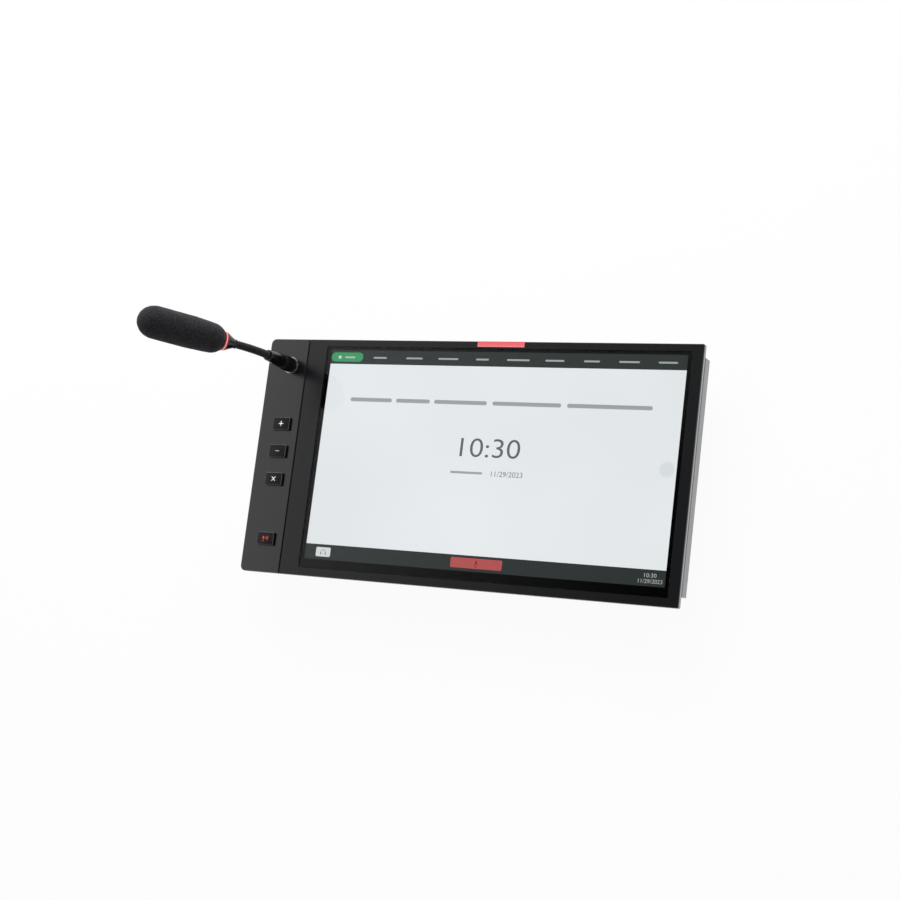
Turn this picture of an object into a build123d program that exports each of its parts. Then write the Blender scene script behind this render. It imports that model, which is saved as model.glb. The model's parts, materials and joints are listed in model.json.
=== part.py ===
"""A desk-inset conference unit: a touch display with a key strip and a plug-in gooseneck microphone.

The unit lies in its desk cut-out: X runs to the right, Y towards the top edge of the screen and
Z out of the screen. The origin is the middle of the panel on the desk's surface, which is the
underside of the flange. Everything is in millimetres.
"""
import math
import os

from build123d import *

# Front panel
panel_width = 424.4
panel_height = 218.6
strip_width = 42.0
seam_gap = 0.6
bezel_thickness = 5.2
deck_thickness = 1.6
deck_inset = 0.9
deck_relief = 0.2
outer_corner = 5.0
inner_corner = 0.6
bezel_corner = 1.2
face_edge = 0.5
overrun = 1.0

# Display: the borders round its lit area of 344.2 by 193.5, the left one counted from the seam
border_left = 24.5
border_right = 13.7
border_top = 9.15
border_bottom = 15.95
glass_left = 4.2
glass_right = 3.8
glass_top = 2.6
glass_bottom = 8.3
glass_thickness = 1.8
glass_recess = 0.4
glass_gap = 0.2
glass_corner = 0.8
window_margin = 1.0
ledge_thickness = 0.8
cell_border = 1.4
cell_tail = 4.0
cell_thickness = 2.1
cell_gap = 0.3
deck_frame_x = 22.1
deck_frame_y = 24.1

# Light bar in the top edge
bar_width = 45.7
bar_height = 4.9
bar_gap = 0.1
bar_corner = 0.6
bar_wall = 1.0
bar_roof = 2.4
bar_board_thickness = 0.8
bar_led_size = 1.6
bar_led_height = 0.7
bar_led_count = 6

# Housings behind the desk plane
wall = 1.6
seat_width = 10.2
side_inset = 0.4
seam_inset = 0.9
housing_depth = 11.2
total_depth = 33.0
chassis_thickness = 1.5
chassis_gap = 0.3
cover_wall = 1.5
cover_from_left = 18.6
cover_from_right = 21.8
cover_from_wall = 19.1
cover_lip = 9.0
cover_corner = 3.0
vent_width = 3.0
vent_length = 26.0
vent_pitch = 10.0
vent_count = 9
vent_rows = 2
vent_row_gap = 8.0

# Keys, from the top: volume up, volume down, cancel and microphone
key_width = 17.7
key_height = 11.8
key_proud = 2.6
key_gap = 0.2
key_corner = 1.0
key_edge = 0.5
key_travel = 1.2
key_flange = 0.9
key_flange_thickness = 1.0
key_rest_gap = 0.1
key_wall = 1.2
key_roof = 1.6
key_post_half = 2.5
key_side_share = 0.580952
plus_key_share = 0.35333
minus_key_share = 0.48513
cancel_key_share = 0.61897
microphone_key_share = 0.90308
plate_face = 2.4
strip_window_margin = 1.0
board_thickness = 1.6
board_drop = 2.8
keypad_board_left = 1.6
keypad_board_right = 3.8
keypad_board_margin = 6.0
board_post_half = 2.4
board_post_edge = 2.8
dome_sides = 8
dome_base_radius = 5.6
dome_top_radius = 3.2
dome_wall = 0.8
dome_foot = 0.6
dome_foot_width = 0.8
dome_pill_radius = 1.8
dome_pill_spare = 0.1
contact_width = 4.4
contact_slot = 0.6
contact_thickness = 0.1

# Microphone socket
socket_side_share = 0.592857
socket_drop = 24.9
rim_radius = 7.6
rim_height = 0.8
barrel_radius = 6.4
barrel_hole_gap = 0.2
barrel_depth = 14.0
spigot_radius = 5.85
spigot_height = 4.6
socket_bore = 5.2
socket_floor = 4.0
socket_nut_width = 16.0
socket_nut_height = 3.0
pin_radius = 0.5
pin_sides = 8
pin_circle = 2.6
pin_count = 5
pin_height = 6.0

# Plug, lock collar and stem
plug_gap = 0.09
plug_wall = 0.9
plug_floor_gap = 0.6
plug_insert_length = 8.0
pin_hole_gap = 0.1
collar_lift = 0.3
grip_sides = 30
collar_bottom_radius = 7.0
collar_top_radius = 6.6
collar_top = 18.2
collar_lip = 6.0
collar_bore_gap = 0.09
collar_thread_gap = 0.3
shoulder_radius = 5.75
shoulder_height = 1.1
shoulder_gap = 0.2
sleeve_gap = 0.3
sleeve_bottom_radius = 6.4
sleeve_top_radius = 4.9
sleeve_edge = 0.5
sleeve_seat_height = 7.0
boot_height = 40.2

# Gooseneck
neck_length = 40.0
neck_radius = 3.6
neck_bore = 1.2
neck_joints = 4
neck_lean_angle = 28.0
neck_heading_angle = 2.5
neck_sides = 20
bore_sides = 10
rib_depth = 0.35
rib_pitch = 2.2
ball_radius = 2.7
ball_gap = 0.15
ball_low_angle = 35.0
ball_high_angle = 140.0
ball_bands = 4
cup_lip_angle = 65.0
cup_roof = 2.95
shoulder_drop = 2.5
shoulder_fall = 0.5

# Microphone head
cone_length = 10.9
cone_bottom_radius = 4.2
cone_top_radius = 8.3
cone_wall = 2.2
cone_collar = 1.2
cone_groove = 0.4
neck_seat = 3.0
ring_radius = 8.65
ring_width = 3.3
ring_wall = 1.1
ring_gap = 0.05
ring_board_thickness = 0.8
tube_wall = 0.9
tube_length = 61.4
capsule_length = 6.0
screen_radius = 14.35
screen_low_radius = 13.3
screen_foot_radius = 8.8
screen_foot_length = 11.0
screen_taper_length = 36.0
screen_sides = 30
foot_bands = 4
tip_bands = 6
screen_tip_length = 16.0
screen_length = 80.8
screen_bore_gap = 0.05

# Boards, sockets and cooling inside the rear cover
board_width = 190.0
board_height = 108.0
board_offset = 15.0
board_top_gap = 4.0
standoff_radius = 2.8
standoff_height = 4.0
standoff_edge = 5.0
sink_width = 60.0
sink_height = 44.0
sink_base = 2.0
sink_floor_gap = 2.1
sink_fin = 1.4
sink_fins = 9
sink_from_middle_x = 25.0
sink_from_middle_y = 12.0
chip_size = 27.0
chip_thickness = 1.6
jack_proud = 0.3
window_gap = 0.3
network_width = 16.0
network_floor_gap = 1.3
network_depth = 21.0
network_mouth_width = 11.8
network_mouth_share = 0.515
network_latch_width = 6.2
network_latch_share = 0.194
network_cavity = 14.0
network_places = {"network_jack_in": 14.0, "network_jack_out": 34.0}
usb_width = 14.5
usb_height = 7.1
usb_depth = 14.0
usb_mouth_width = 12.5
usb_mouth_height = 5.1
usb_tongue = 1.85
usb_cavity = 9.5
usb_place = 60.0
video_width = 15.4
video_height = 6.6
video_depth = 12.0
video_mouth_width = 14.0
video_mouth_height = 4.6
video_taper = 1.6
video_tongue = 1.2
video_cavity = 8.0
video_place = 86.0

# Mounting holes and fasteners
bracket_pitch = 100.0
bracket_hole_radius = 1.65
bracket_boss = 8.0
bracket_boss_height = 8.0
boss_half = 4.0
chassis_boss_drop = 11.1
chassis_boss_left = 18.6
chassis_boss_right = 15.8
chassis_boss_middle_share = 0.511567
lid_boss = 6.0
lid_boss_height = 10.0
link_bolt_end = 39.1
link_bolt_radius = 2.0
link_hole_gap = 0.15
link_head_radius = 3.5
link_head_height = 2.0
link_nut_height = 3.0
link_rib_end = 19.1
link_rib_half_height = 3.3
grommet_y = 25.0
grommet_half_length = 6.0
grommet_half_height = 3.0
grommet_wall = 1.0
grommet_lip = 0.6
grommet_lip_width = 1.0
cable_window_place = 55.0
cable_window_width = 26.0
cable_window_height = 14.0

# Levels and edges worked out from the sizes above
half_width = panel_width / 2
half_height = panel_height / 2
face_z = deck_thickness + bezel_thickness
seam_x = strip_width - half_width
strip_left = -half_width
strip_right = seam_x - seam_gap / 2
bezel_left = seam_x + seam_gap / 2
bezel_right = half_width
glass_z = face_z - glass_recess
ledge_z = glass_z - glass_thickness
screen_left = seam_x + border_left
screen_right = half_width - border_right
screen_top = half_height - border_top
screen_bottom = border_bottom - half_height
screen_centre_x = (screen_left + screen_right) / 2
wall_y = half_height - seat_width
link_bolt_ys = (link_bolt_end - wall_y, wall_y - link_bolt_end)
link_wall = bezel_left + deck_inset + side_inset
main_wall_right = bezel_right - side_inset
strip_wall_left = strip_left + seat_width
strip_wall_right = strip_right - seam_inset
chassis_z = -housing_depth
box_z = -total_depth
cover_left = link_wall + cover_from_left
cover_right = main_wall_right - cover_from_right
cover_middle = (cover_left + cover_right) / 2
cover_half_height = wall_y - cover_from_wall
cover_floor_z = box_z + cover_wall
key_x = strip_left + strip_width * key_side_share
inner_y = wall_y - wall
key_shares = {
    "plus": plus_key_share,
    "minus": minus_key_share,
    "cancel": cancel_key_share,
    "microphone": microphone_key_share,
}
key_ys = {name: inner_y - 2 * inner_y * share for name, share in key_shares.items()}
plate_roof_z = face_z - plate_face
key_foot_z = plate_roof_z - key_rest_gap - key_flange_thickness
keypad_z = -board_drop
socket_x = strip_left + strip_width * socket_side_share
socket_y = half_height - socket_drop
barrel_z = -barrel_depth
plug_radius = socket_bore - plug_gap
shoulder_z = face_z + collar_top - collar_lip - shoulder_height - shoulder_gap
boot_z = face_z + boot_height
sleeve_seat_z = face_z + collar_top + sleeve_gap + sleeve_seat_height
joint_pitch = neck_length / neck_joints
lean_step_angle = neck_lean_angle / neck_joints
board_z = chassis_z - standoff_height
board_low_z = board_z - board_thickness
board_middle_x = cover_middle + board_offset
board_right = board_middle_x + board_width / 2
board_top_y = cover_half_height - board_top_gap
sink_x = board_middle_x - sink_from_middle_x
sink_y = board_top_y - board_height / 2 - sink_from_middle_y
network_xs = {name: board_right - place for name, place in network_places.items()}
network_height = board_low_z - network_floor_gap - cover_floor_z
network_mouth_height = network_height * network_mouth_share
network_latch_height = network_height * network_latch_share
usb_x = board_right - usb_place
video_x = board_right - video_place
cable_window_x = cover_left + cable_window_place
tube_radius = ring_radius - ring_wall - ring_gap
link_z = -housing_depth / 2


def block(x0, x1, y0, y1, z0, z1):
    """A block between two corners."""
    centre = Pos((x0 + x1) / 2, (y0 + y1) / 2, (z0 + z1) / 2)
    return centre * Box(abs(x1 - x0), abs(y1 - y0), abs(z1 - z0))


def sheet(x0, x1, y0, y1, z0, z1, left=0, right=0):
    """An upright slab whose left and right corners are rounded."""
    outline = Pos((x0 + x1) / 2, (y0 + y1) / 2) * Rectangle(x1 - x0, y1 - y0)
    if left:
        outline = fillet(outline.vertices().group_by(Axis.X)[0], left)
    if right:
        outline = fillet(outline.vertices().group_by(Axis.X)[-1], right)
    return Pos(0, 0, z0) * extrude(outline, z1 - z0)


def turned(*points):
    """A solid of revolution about Z, from an outline of (radius, height) points."""
    return revolve(make_face(Plane.XZ * Polyline(*points, close=True)), Axis.Z)


def rod(radius, z0, z1, x=0, y=0):
    """A round bar along Z between two levels."""
    return Pos(x, y, (z0 + z1) / 2) * Cylinder(radius, z1 - z0)


def bar_along_x(radius, x0, x1, y, z):
    """A round bar along X."""
    return Pos((x0 + x1) / 2, y, z) * Rot(0, 90, 0) * Cylinder(radius, x1 - x0)


def top_edges(solid):
    """The edges round the uppermost flat face."""
    return solid.faces().sort_by(Axis.Z)[-1].outer_wire().edges()


def polygon_ring(sides, radius, z):
    """The corners of a regular polygon about Z, or one point where the radius is zero."""
    if not radius:
        return [Vector(0, 0, z)]
    turns = [2 * math.pi * k / sides for k in range(sides)]
    return [Vector(radius * math.cos(a), radius * math.sin(a), z) for a in turns]


def stacked(sides, *points):
    """A solid of flat faces through regular polygons, from (radius, height) pairs going up."""
    rings = [polygon_ring(sides, radius, z) for radius, z in points]
    outlines = [ring for ring in (rings[0], rings[-1]) if len(ring) == sides]
    for low, high in zip(rings, rings[1:]):
        for k in range(sides):
            after = (k + 1) % sides
            upper = [high[after], high[k]] if len(high) == sides else high
            outlines.append([low[k], low[after], *upper])
    return Solid(Shell([Face(Wire.make_polygon(outline)) for outline in outlines]))


def key_outline(grow=0):
    """A key's outline with its corners cut, or the outline moved out by a gap."""
    outline = Rectangle(key_width, key_height)
    outline = chamfer(outline.vertices(), key_corner)
    return offset(outline, grow, kind=Kind.INTERSECTION) if grow else outline


# Key strip

def key_bay(z0, z1):
    """The pocket behind the four keys, which the plate and the deck share."""
    reach_x = key_width / 2 + key_flange + strip_window_margin
    reach_y = key_height / 2 + key_flange + strip_window_margin
    low, high = min(key_ys.values()) - reach_y, max(key_ys.values()) + reach_y
    return block(key_x - reach_x, key_x + reach_x, low, high, z0, z1)


def mic_module_plate():
    """The strip's front plate, with four key windows and the socket's hole."""
    plate = sheet(strip_left, strip_right, -half_height, half_height, deck_thickness, face_z,
                  outer_corner, inner_corner)
    plate = chamfer(top_edges(plate), face_edge)
    plate -= key_bay(deck_thickness - overrun, plate_roof_z)
    for y in key_ys.values():
        plate -= Pos(key_x, y, deck_thickness) * extrude(key_outline(key_gap), bezel_thickness + overrun)
    plate -= at_socket(rod(barrel_radius + barrel_hole_gap, deck_thickness - overrun, face_z + overrun))
    return plate


def board_post_places():
    """The two posts above and below the key bay that carry the keypad's board."""
    low, high = keypad_board_ends()
    return [(key_x, low + board_post_edge), (key_x, high - board_post_edge)]


def keypad_board_ends():
    """The lower and upper ends of the keypad's board."""
    bay = key_bay(0, deck_thickness).bounding_box()
    return bay.min.Y - keypad_board_margin, bay.max.Y + keypad_board_margin


def mic_module_housing():
    """The strip's deck, which seats on the desk, and the walls that hang below it."""
    deck = sheet(strip_left + deck_inset, strip_right - deck_inset, -half_height + deck_inset,
                 half_height - deck_inset, 0, deck_thickness, outer_corner - deck_inset, 0)
    low_z = cover_floor_z
    outer = block(strip_wall_left, strip_wall_right, -wall_y, wall_y, low_z, 0)
    inner = block(strip_wall_left + wall, strip_wall_right - wall, -wall_y + wall, wall_y - wall,
                  low_z - overrun, 0)
    body = deck + (outer - inner)
    for x_side in (strip_wall_left + wall, strip_wall_right - wall - lid_boss):
        for y_side in (-wall_y + wall, wall_y - wall - lid_boss):
            body += block(x_side, x_side + lid_boss, y_side, y_side + lid_boss, low_z,
                          low_z + lid_boss_height)
    for x, y in board_post_places():
        body += block(x - board_post_half, x + board_post_half, y - board_post_half, y + board_post_half,
                      keypad_z, 0)
    body -= key_bay(-overrun, deck_thickness + overrun)
    body -= rod(barrel_radius + barrel_hole_gap, -overrun, deck_thickness + overrun, socket_x, socket_y)
    x0, x1 = strip_wall_right - wall - overrun, strip_wall_right + overrun
    for y in link_bolt_ys:
        body -= bar_along_x(link_bolt_radius + link_hole_gap, x0, x1, y, link_z)
    return body - grommet_block(x0, x1)


def mic_module_lid():
    """The strip's rear lid."""
    return block(strip_wall_left, strip_wall_right, -wall_y, wall_y, box_z, box_z + cover_wall)


def keypad_board():
    """The circuit board under the keys."""
    low, high = keypad_board_ends()
    x0 = strip_wall_left + wall + keypad_board_left
    x1 = strip_wall_right - wall - keypad_board_right
    return block(x0, x1, low, high, keypad_z - board_thickness, keypad_z)


def key_contacts():
    """Two gilt pads on the board under each key."""
    parts = []
    half, slot = contact_width / 2, contact_slot / 2
    for y in key_ys.values():
        for x0, x1 in ((key_x - half, key_x - slot), (key_x + slot, key_x + half)):
            parts.append(block(x0, x1, y - half, y + half, keypad_z, keypad_z + contact_thickness))
    return Compound(children=parts)


def key_dome(name):
    """A hollow rubber dome that pushes one key up and carries its contact pill."""
    top = key_foot_z - keypad_z
    reach = dome_base_radius + dome_foot_width
    pill = contact_thickness + key_travel + dome_pill_spare
    dome = stacked(dome_sides, (dome_base_radius, 0), (dome_top_radius, top))
    dome += extrude(RegularPolygon(reach, dome_sides), dome_foot)
    dome -= stacked(dome_sides, (dome_base_radius - dome_wall, 0),
                    (dome_top_radius - dome_wall, top - dome_wall))
    dome += Pos(0, 0, pill) * extrude(RegularPolygon(dome_pill_radius, dome_sides), top - dome_wall - pill)
    return Pos(key_x, key_ys[name], keypad_z) * dome


def key_cap(name):
    """A key: a hollow cap with a flange that keeps it behind the plate."""
    height = face_z + key_proud - key_foot_z
    cap = chamfer(top_edges(extrude(key_outline(), height)), key_edge)
    cap += extrude(Rectangle(key_width + 2 * key_flange, key_height + 2 * key_flange), key_flange_thickness)
    cap -= extrude(Rectangle(key_width - 2 * key_wall, key_height - 2 * key_wall), height - key_roof)
    cap += extrude(Rectangle(2 * key_post_half, 2 * key_post_half), height - key_roof)
    return Pos(key_x, key_ys[name], key_foot_z) * cap


# Microphone socket

def at_socket(solid):
    """Moves a solid from the origin to the socket's axis."""
    return Pos(socket_x, socket_y, 0) * solid


def socket_shell():
    """The plated socket: a rim on the plate, a spigot for the lock collar and a barrel."""
    rim_top = face_z + rim_height
    return at_socket(turned((socket_bore, barrel_z), (barrel_radius, barrel_z), (barrel_radius, face_z),
                            (rim_radius, face_z), (rim_radius, rim_top), (spigot_radius, rim_top),
                            (spigot_radius, face_z + spigot_height), (socket_bore, face_z + spigot_height)))


def pin_places():
    """The pins' places on their circle, from the socket's axis."""
    turns = [2 * math.pi * k / pin_count for k in range(pin_count)]
    return [(pin_circle * math.cos(a), pin_circle * math.sin(a)) for a in turns]


def socket_insert():
    """The insulator at the bottom of the socket."""
    return at_socket(rod(socket_bore, barrel_z, barrel_z + socket_floor))


def pins(radius, z0, z1):
    """One bar for each contact, about the socket's axis."""
    bars = [Pos(x, y, z0) * extrude(RegularPolygon(radius, pin_sides), z1 - z0) for x, y in pin_places()]
    return [at_socket(bar) for bar in bars]


def socket_pins():
    """The contact pins that stand on the insulator."""
    low = barrel_z + socket_floor
    return Compound(children=pins(pin_radius, low, low + pin_height))


def socket_nut():
    """The hexagonal nut that clamps the socket from behind."""
    nut = extrude(RegularPolygon(socket_nut_width / 2, 6, major_radius=False), socket_nut_height)
    nut -= rod(barrel_radius + barrel_hole_gap / 4, -overrun, socket_nut_height + overrun)
    return at_socket(Pos(0, 0, -socket_nut_height) * nut)


# Plug and stem

def plug_shell():
    """The plug's metal tube, with the shoulder that carries the lock collar."""
    foot = barrel_z + socket_floor + plug_floor_gap
    inner = plug_radius - plug_wall
    return at_socket(turned((inner, foot), (plug_radius, foot), (plug_radius, shoulder_z),
                            (shoulder_radius, shoulder_z), (shoulder_radius, shoulder_z + shoulder_height),
                            (plug_radius, shoulder_z + shoulder_height), (plug_radius, sleeve_seat_z),
                            (inner, sleeve_seat_z)))


def plug_insert():
    """The plug's insulator, with a hole for each pin."""
    foot = barrel_z + socket_floor + plug_floor_gap
    insert = at_socket(rod(plug_radius - plug_wall, foot, foot + plug_insert_length))
    for hole in pins(pin_radius + pin_hole_gap, foot - overrun, foot + pin_height):
        insert -= hole
    return insert


def lock_collar():
    """The collar with a faceted grip that turns on the plug and locks it on the socket's spigot."""
    bottom = face_z + rim_height + collar_lift
    top = face_z + collar_top
    collar = stacked(grip_sides, (collar_bottom_radius, bottom), (collar_top_radius, top - sleeve_edge),
                     (collar_top_radius - sleeve_edge, top))
    collar -= rod(spigot_radius + collar_thread_gap, bottom - overrun, top - collar_lip)
    collar -= rod(plug_radius + collar_bore_gap, bottom, top + overrun)
    return at_socket(collar)


def stem_sleeve():
    """The tapered sleeve above the collar, which holds the gooseneck."""
    bottom = face_z + collar_top + sleeve_gap
    sleeve = stacked(grip_sides, (sleeve_bottom_radius, bottom), (sleeve_top_radius, boot_z - sleeve_edge),
                     (sleeve_top_radius - sleeve_edge, boot_z))
    sleeve -= rod(plug_radius, bottom - overrun, sleeve_seat_z)
    sleeve -= rod(neck_radius, bottom, boot_z + overrun)
    return at_socket(sleeve)


# Gooseneck

def lean_direction(lean):
    """The neck's direction where it leans by this many degrees."""
    out = math.sin(math.radians(lean))
    heading = math.radians(neck_heading_angle)
    return Vector(-out * math.cos(heading), out * math.sin(heading), math.cos(math.radians(lean)))


def neck_places():
    """A plane at each ball of the neck, whose Z is the direction above that ball."""
    point = Vector(socket_x, socket_y, boot_z) + lean_direction(0) * (joint_pitch / 2)
    heading = math.radians(neck_heading_angle)
    across = Vector(-math.sin(heading), -math.cos(heading), 0)
    places = []
    for index in range(neck_joints):
        along = lean_direction((index + 1) * lean_step_angle)
        places.append(Plane(origin=point, x_dir=across, z_dir=along))
        point += along * joint_pitch
    return places


def ribbed(z0, z1):
    """Outline points up a ribbed wall from one level to another."""
    count = max(1, round((z1 - z0) / rib_pitch))
    pitch = (z1 - z0) / count
    points = [(neck_radius, z0)]
    for k in range(count):
        points.append((neck_radius - rib_depth, z0 + (k + 1 / 2) * pitch))
        points.append((neck_radius, z0 + (k + 1) * pitch))
    return points


def on_sphere(radius, angle_from_low):
    """A point of a half circle about the origin, by its angle from straight below."""
    a = math.radians(angle_from_low)
    return radius * math.sin(a), -radius * math.cos(a)


def wire_bore(z0, z1):
    """The hole for the wires along the neck."""
    return Pos(0, 0, z0) * extrude(RegularPolygon(neck_bore, bore_sides), z1 - z0)


def ball_top():
    """A ball on a waist, with its centre at the origin."""
    step = (ball_high_angle - ball_low_angle) / ball_bands
    rings = [on_sphere(ball_radius, ball_low_angle + k * step) for k in range(ball_bands + 1)]
    waist = rings[0][0]
    return stacked(neck_sides, (waist, -shoulder_drop), *rings)


def cup_hollow():
    """The room for a ball inside a cup, with the ball's centre at the origin."""
    wide = 1 / math.cos(math.pi / neck_sides)
    radius = (ball_radius + ball_gap) * wide
    lip, low = on_sphere(radius, cup_lip_angle)
    return stacked(neck_sides, (lip, low - overrun), (lip, low), (radius, 0), (radius, cup_roof))


def cup_lip_z():
    """The level of a cup's lower rim, from its ball's centre."""
    return on_sphere(ball_radius + ball_gap, cup_lip_angle)[1]


def shoulder_points(z):
    """The sloped shoulder below a ball whose centre is at this level."""
    waist = on_sphere(ball_radius, ball_low_angle)[0]
    return [(neck_radius, z - shoulder_drop - shoulder_fall), (waist, z - shoulder_drop)]


def neck_link(index):
    """One link of the gooseneck: a ribbed sleeve with a cup below and a ball above."""
    shoulder = shoulder_points(joint_pitch)
    body = stacked(neck_sides, *ribbed(cup_lip_z(), shoulder[0][1]), shoulder[1])
    body += Pos(0, 0, joint_pitch) * ball_top()
    body -= cup_hollow()
    body -= wire_bore(0, joint_pitch + ball_radius)
    return neck_places()[index].location * body


def neck_base():
    """The gooseneck's lowest piece, held in the sleeve, with the first ball on top."""
    ball_z = joint_pitch / 2
    foot = sleeve_seat_z - boot_z
    shoulder = shoulder_points(ball_z)
    body = stacked(neck_sides, (neck_radius, foot), *ribbed(0, shoulder[0][1]), shoulder[1])
    body += Pos(0, 0, ball_z) * ball_top()
    body -= wire_bore(foot - overrun, ball_z + ball_radius)
    return Pos(socket_x, socket_y, boot_z) * body


def neck_top():
    """The gooseneck's last piece, a cup that ends inside the head's cone."""
    end = joint_pitch / 2
    body = stacked(neck_sides, *ribbed(cup_lip_z(), end), (neck_radius, end + neck_seat))
    body -= cup_hollow()
    body -= wire_bore(0, end + neck_seat + overrun)
    return neck_places()[-1].location * body


# Microphone head, built upright on its own axis and then set on the neck's end

def on_head(solid):
    """Sets a solid on the neck's end, where its origin is the cone's foot."""
    return neck_places()[-1].location * Pos(0, 0, joint_pitch / 2) * solid


def head_cone():
    """The cone that widens from the neck to the light ring."""
    narrow = cone_bottom_radius - cone_groove
    cone = stacked(grip_sides, (cone_bottom_radius, 0), (cone_bottom_radius, cone_collar),
                   (narrow, cone_collar + cone_groove), (cone_top_radius, cone_length))
    cone -= stacked(grip_sides, (neck_radius, neck_seat), (cone_top_radius - cone_wall, cone_length))
    cone -= rod(neck_radius, -overrun, neck_seat + overrun)
    return on_head(cone)


def light_ring():
    """The clear red ring that shows when the microphone is live."""
    low, high = cone_length, cone_length + ring_width
    return on_head(rod(ring_radius, low, high) - rod(ring_radius - ring_wall, low - overrun, high + overrun))


def ring_board():
    """The small round board whose lamps light the ring."""
    return on_head(rod(tube_radius - tube_wall - ring_gap, cone_length, cone_length + ring_board_thickness))


def capsule_tube():
    """The tube that carries the capsule inside the windscreen."""
    low, high = cone_length, cone_length + tube_length
    return on_head(rod(tube_radius, low, high) - rod(tube_radius - tube_wall, low - overrun, high + overrun))


def mic_capsule():
    """The capsule, pushed into the tube's end."""
    high = cone_length + tube_length
    return on_head(rod(tube_radius - tube_wall, high - capsule_length, high))


def windscreen():
    """The foam windscreen, a sleeve over the tube with a rounded foot and an elliptical tip."""
    low = cone_length + ring_width
    high = low + screen_length
    brow = high - screen_tip_length
    spread = screen_low_radius - screen_foot_radius
    points = []
    for k in range(foot_bands + 1):
        rise = k / foot_bands
        points.append((screen_foot_radius + spread * (1 - (1 - rise) ** 2), low + screen_foot_length * rise))
    points.append((screen_radius, low + screen_taper_length))
    for k in range(tip_bands):
        turn = math.pi / 2 * k / tip_bands
        points.append((screen_radius * math.cos(turn), brow + screen_tip_length * math.sin(turn)))
    foam = stacked(screen_sides, *points, (0, high))
    foam -= rod(tube_radius + screen_bore_gap, low - overrun, cone_length + tube_length)
    return on_head(foam)


# Display module

def glass_edges(gap=0):
    """The cover glass's left, right, lower and upper edges, moved out by a gap."""
    return (screen_left - glass_left - gap, screen_right + glass_right + gap,
            screen_bottom - glass_bottom - gap, screen_top + glass_top + gap)


def cell_edges(gap=0):
    """The display panel's left, right, lower and upper edges, moved out by a gap."""
    return (screen_left - cell_border - gap, screen_right + cell_border + gap,
            screen_bottom - cell_tail - gap, screen_top + cell_border + gap)


def bar_shape(z0, z1, gap=0):
    """The light bar's block, let into the bezel's top edge."""
    half = bar_width / 2 - gap
    low = half_height - bar_height + gap
    outline = Pos(screen_centre_x, (low + half_height) / 2) * Rectangle(2 * half, half_height - low)
    outline = fillet(outline.vertices().group_by(Axis.Y)[0], bar_corner)
    return Pos(0, 0, z0) * extrude(outline, z1 - z0)


def display_frame():
    """The bezel, with a rebate for the glass, a pocket for the display and the light bar's notch."""
    frame = sheet(bezel_left, bezel_right, -half_height, half_height, deck_thickness, face_z,
                  inner_corner, bezel_corner)
    frame = chamfer(top_edges(frame), face_edge)
    gx0, gx1, gy0, gy1 = glass_edges(glass_gap)
    frame -= sheet(gx0, gx1, gy0, gy1, ledge_z, face_z + overrun, glass_corner, glass_corner)
    cx0, cx1, cy0, cy1 = cell_edges(cell_gap)
    frame -= block(cx0, cx1, cy0, cy1, deck_thickness - overrun, ledge_z - ledge_thickness)
    frame -= block(screen_left - window_margin, screen_right + window_margin, screen_bottom - window_margin,
                   screen_top + window_margin, deck_thickness, face_z)
    notch = Pos(screen_centre_x, half_height) * Rectangle(bar_width, 2 * bar_height)
    notch = fillet(notch.vertices().group_by(Axis.Y)[0], bar_corner)
    return frame - Pos(0, 0, deck_thickness - overrun) * extrude(notch, bezel_thickness + 2 * overrun)


def touch_glass():
    """The cover glass with its touch layer."""
    x0, x1, y0, y1 = glass_edges()
    return sheet(x0, x1, y0, y1, ledge_z, glass_z, glass_corner - glass_gap, glass_corner - glass_gap)


def lcd_panel():
    """The thin display panel with its backlight, clamped between deck and bezel."""
    x0, x1, y0, y1 = cell_edges()
    return block(x0, x1, y0, y1, deck_thickness, deck_thickness + cell_thickness)


def light_bar_lens():
    """The red lens of the speaking light, hollow from below."""
    lens = bar_shape(deck_thickness, face_z, bar_gap)
    half = bar_width / 2 - bar_gap - bar_wall
    low = half_height - bar_height + bar_gap + bar_wall
    lens -= block(screen_centre_x - half, screen_centre_x + half, low, half_height - bar_wall,
                  deck_thickness - overrun, face_z - bar_roof)
    return lens


def light_bar_board():
    """The strip of lamps under the lens."""
    half = bar_width / 2 - bar_gap - bar_wall - bar_gap
    low = half_height - bar_height + bar_gap + bar_wall + bar_gap
    top = half_height - bar_wall - bar_gap
    board_top = deck_thickness + bar_board_thickness
    board = block(screen_centre_x - half, screen_centre_x + half, low, top, deck_thickness, board_top)
    pitch = 2 * half / bar_led_count
    size = bar_led_size / 2
    y = (low + top) / 2
    for k in range(bar_led_count):
        x = screen_centre_x - half + pitch * (k + 1 / 2)
        board += block(x - size, x + size, y - size / 2, y + size / 2, board_top - bar_led_height / 2,
                       board_top + bar_led_height)
    return board


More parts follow.
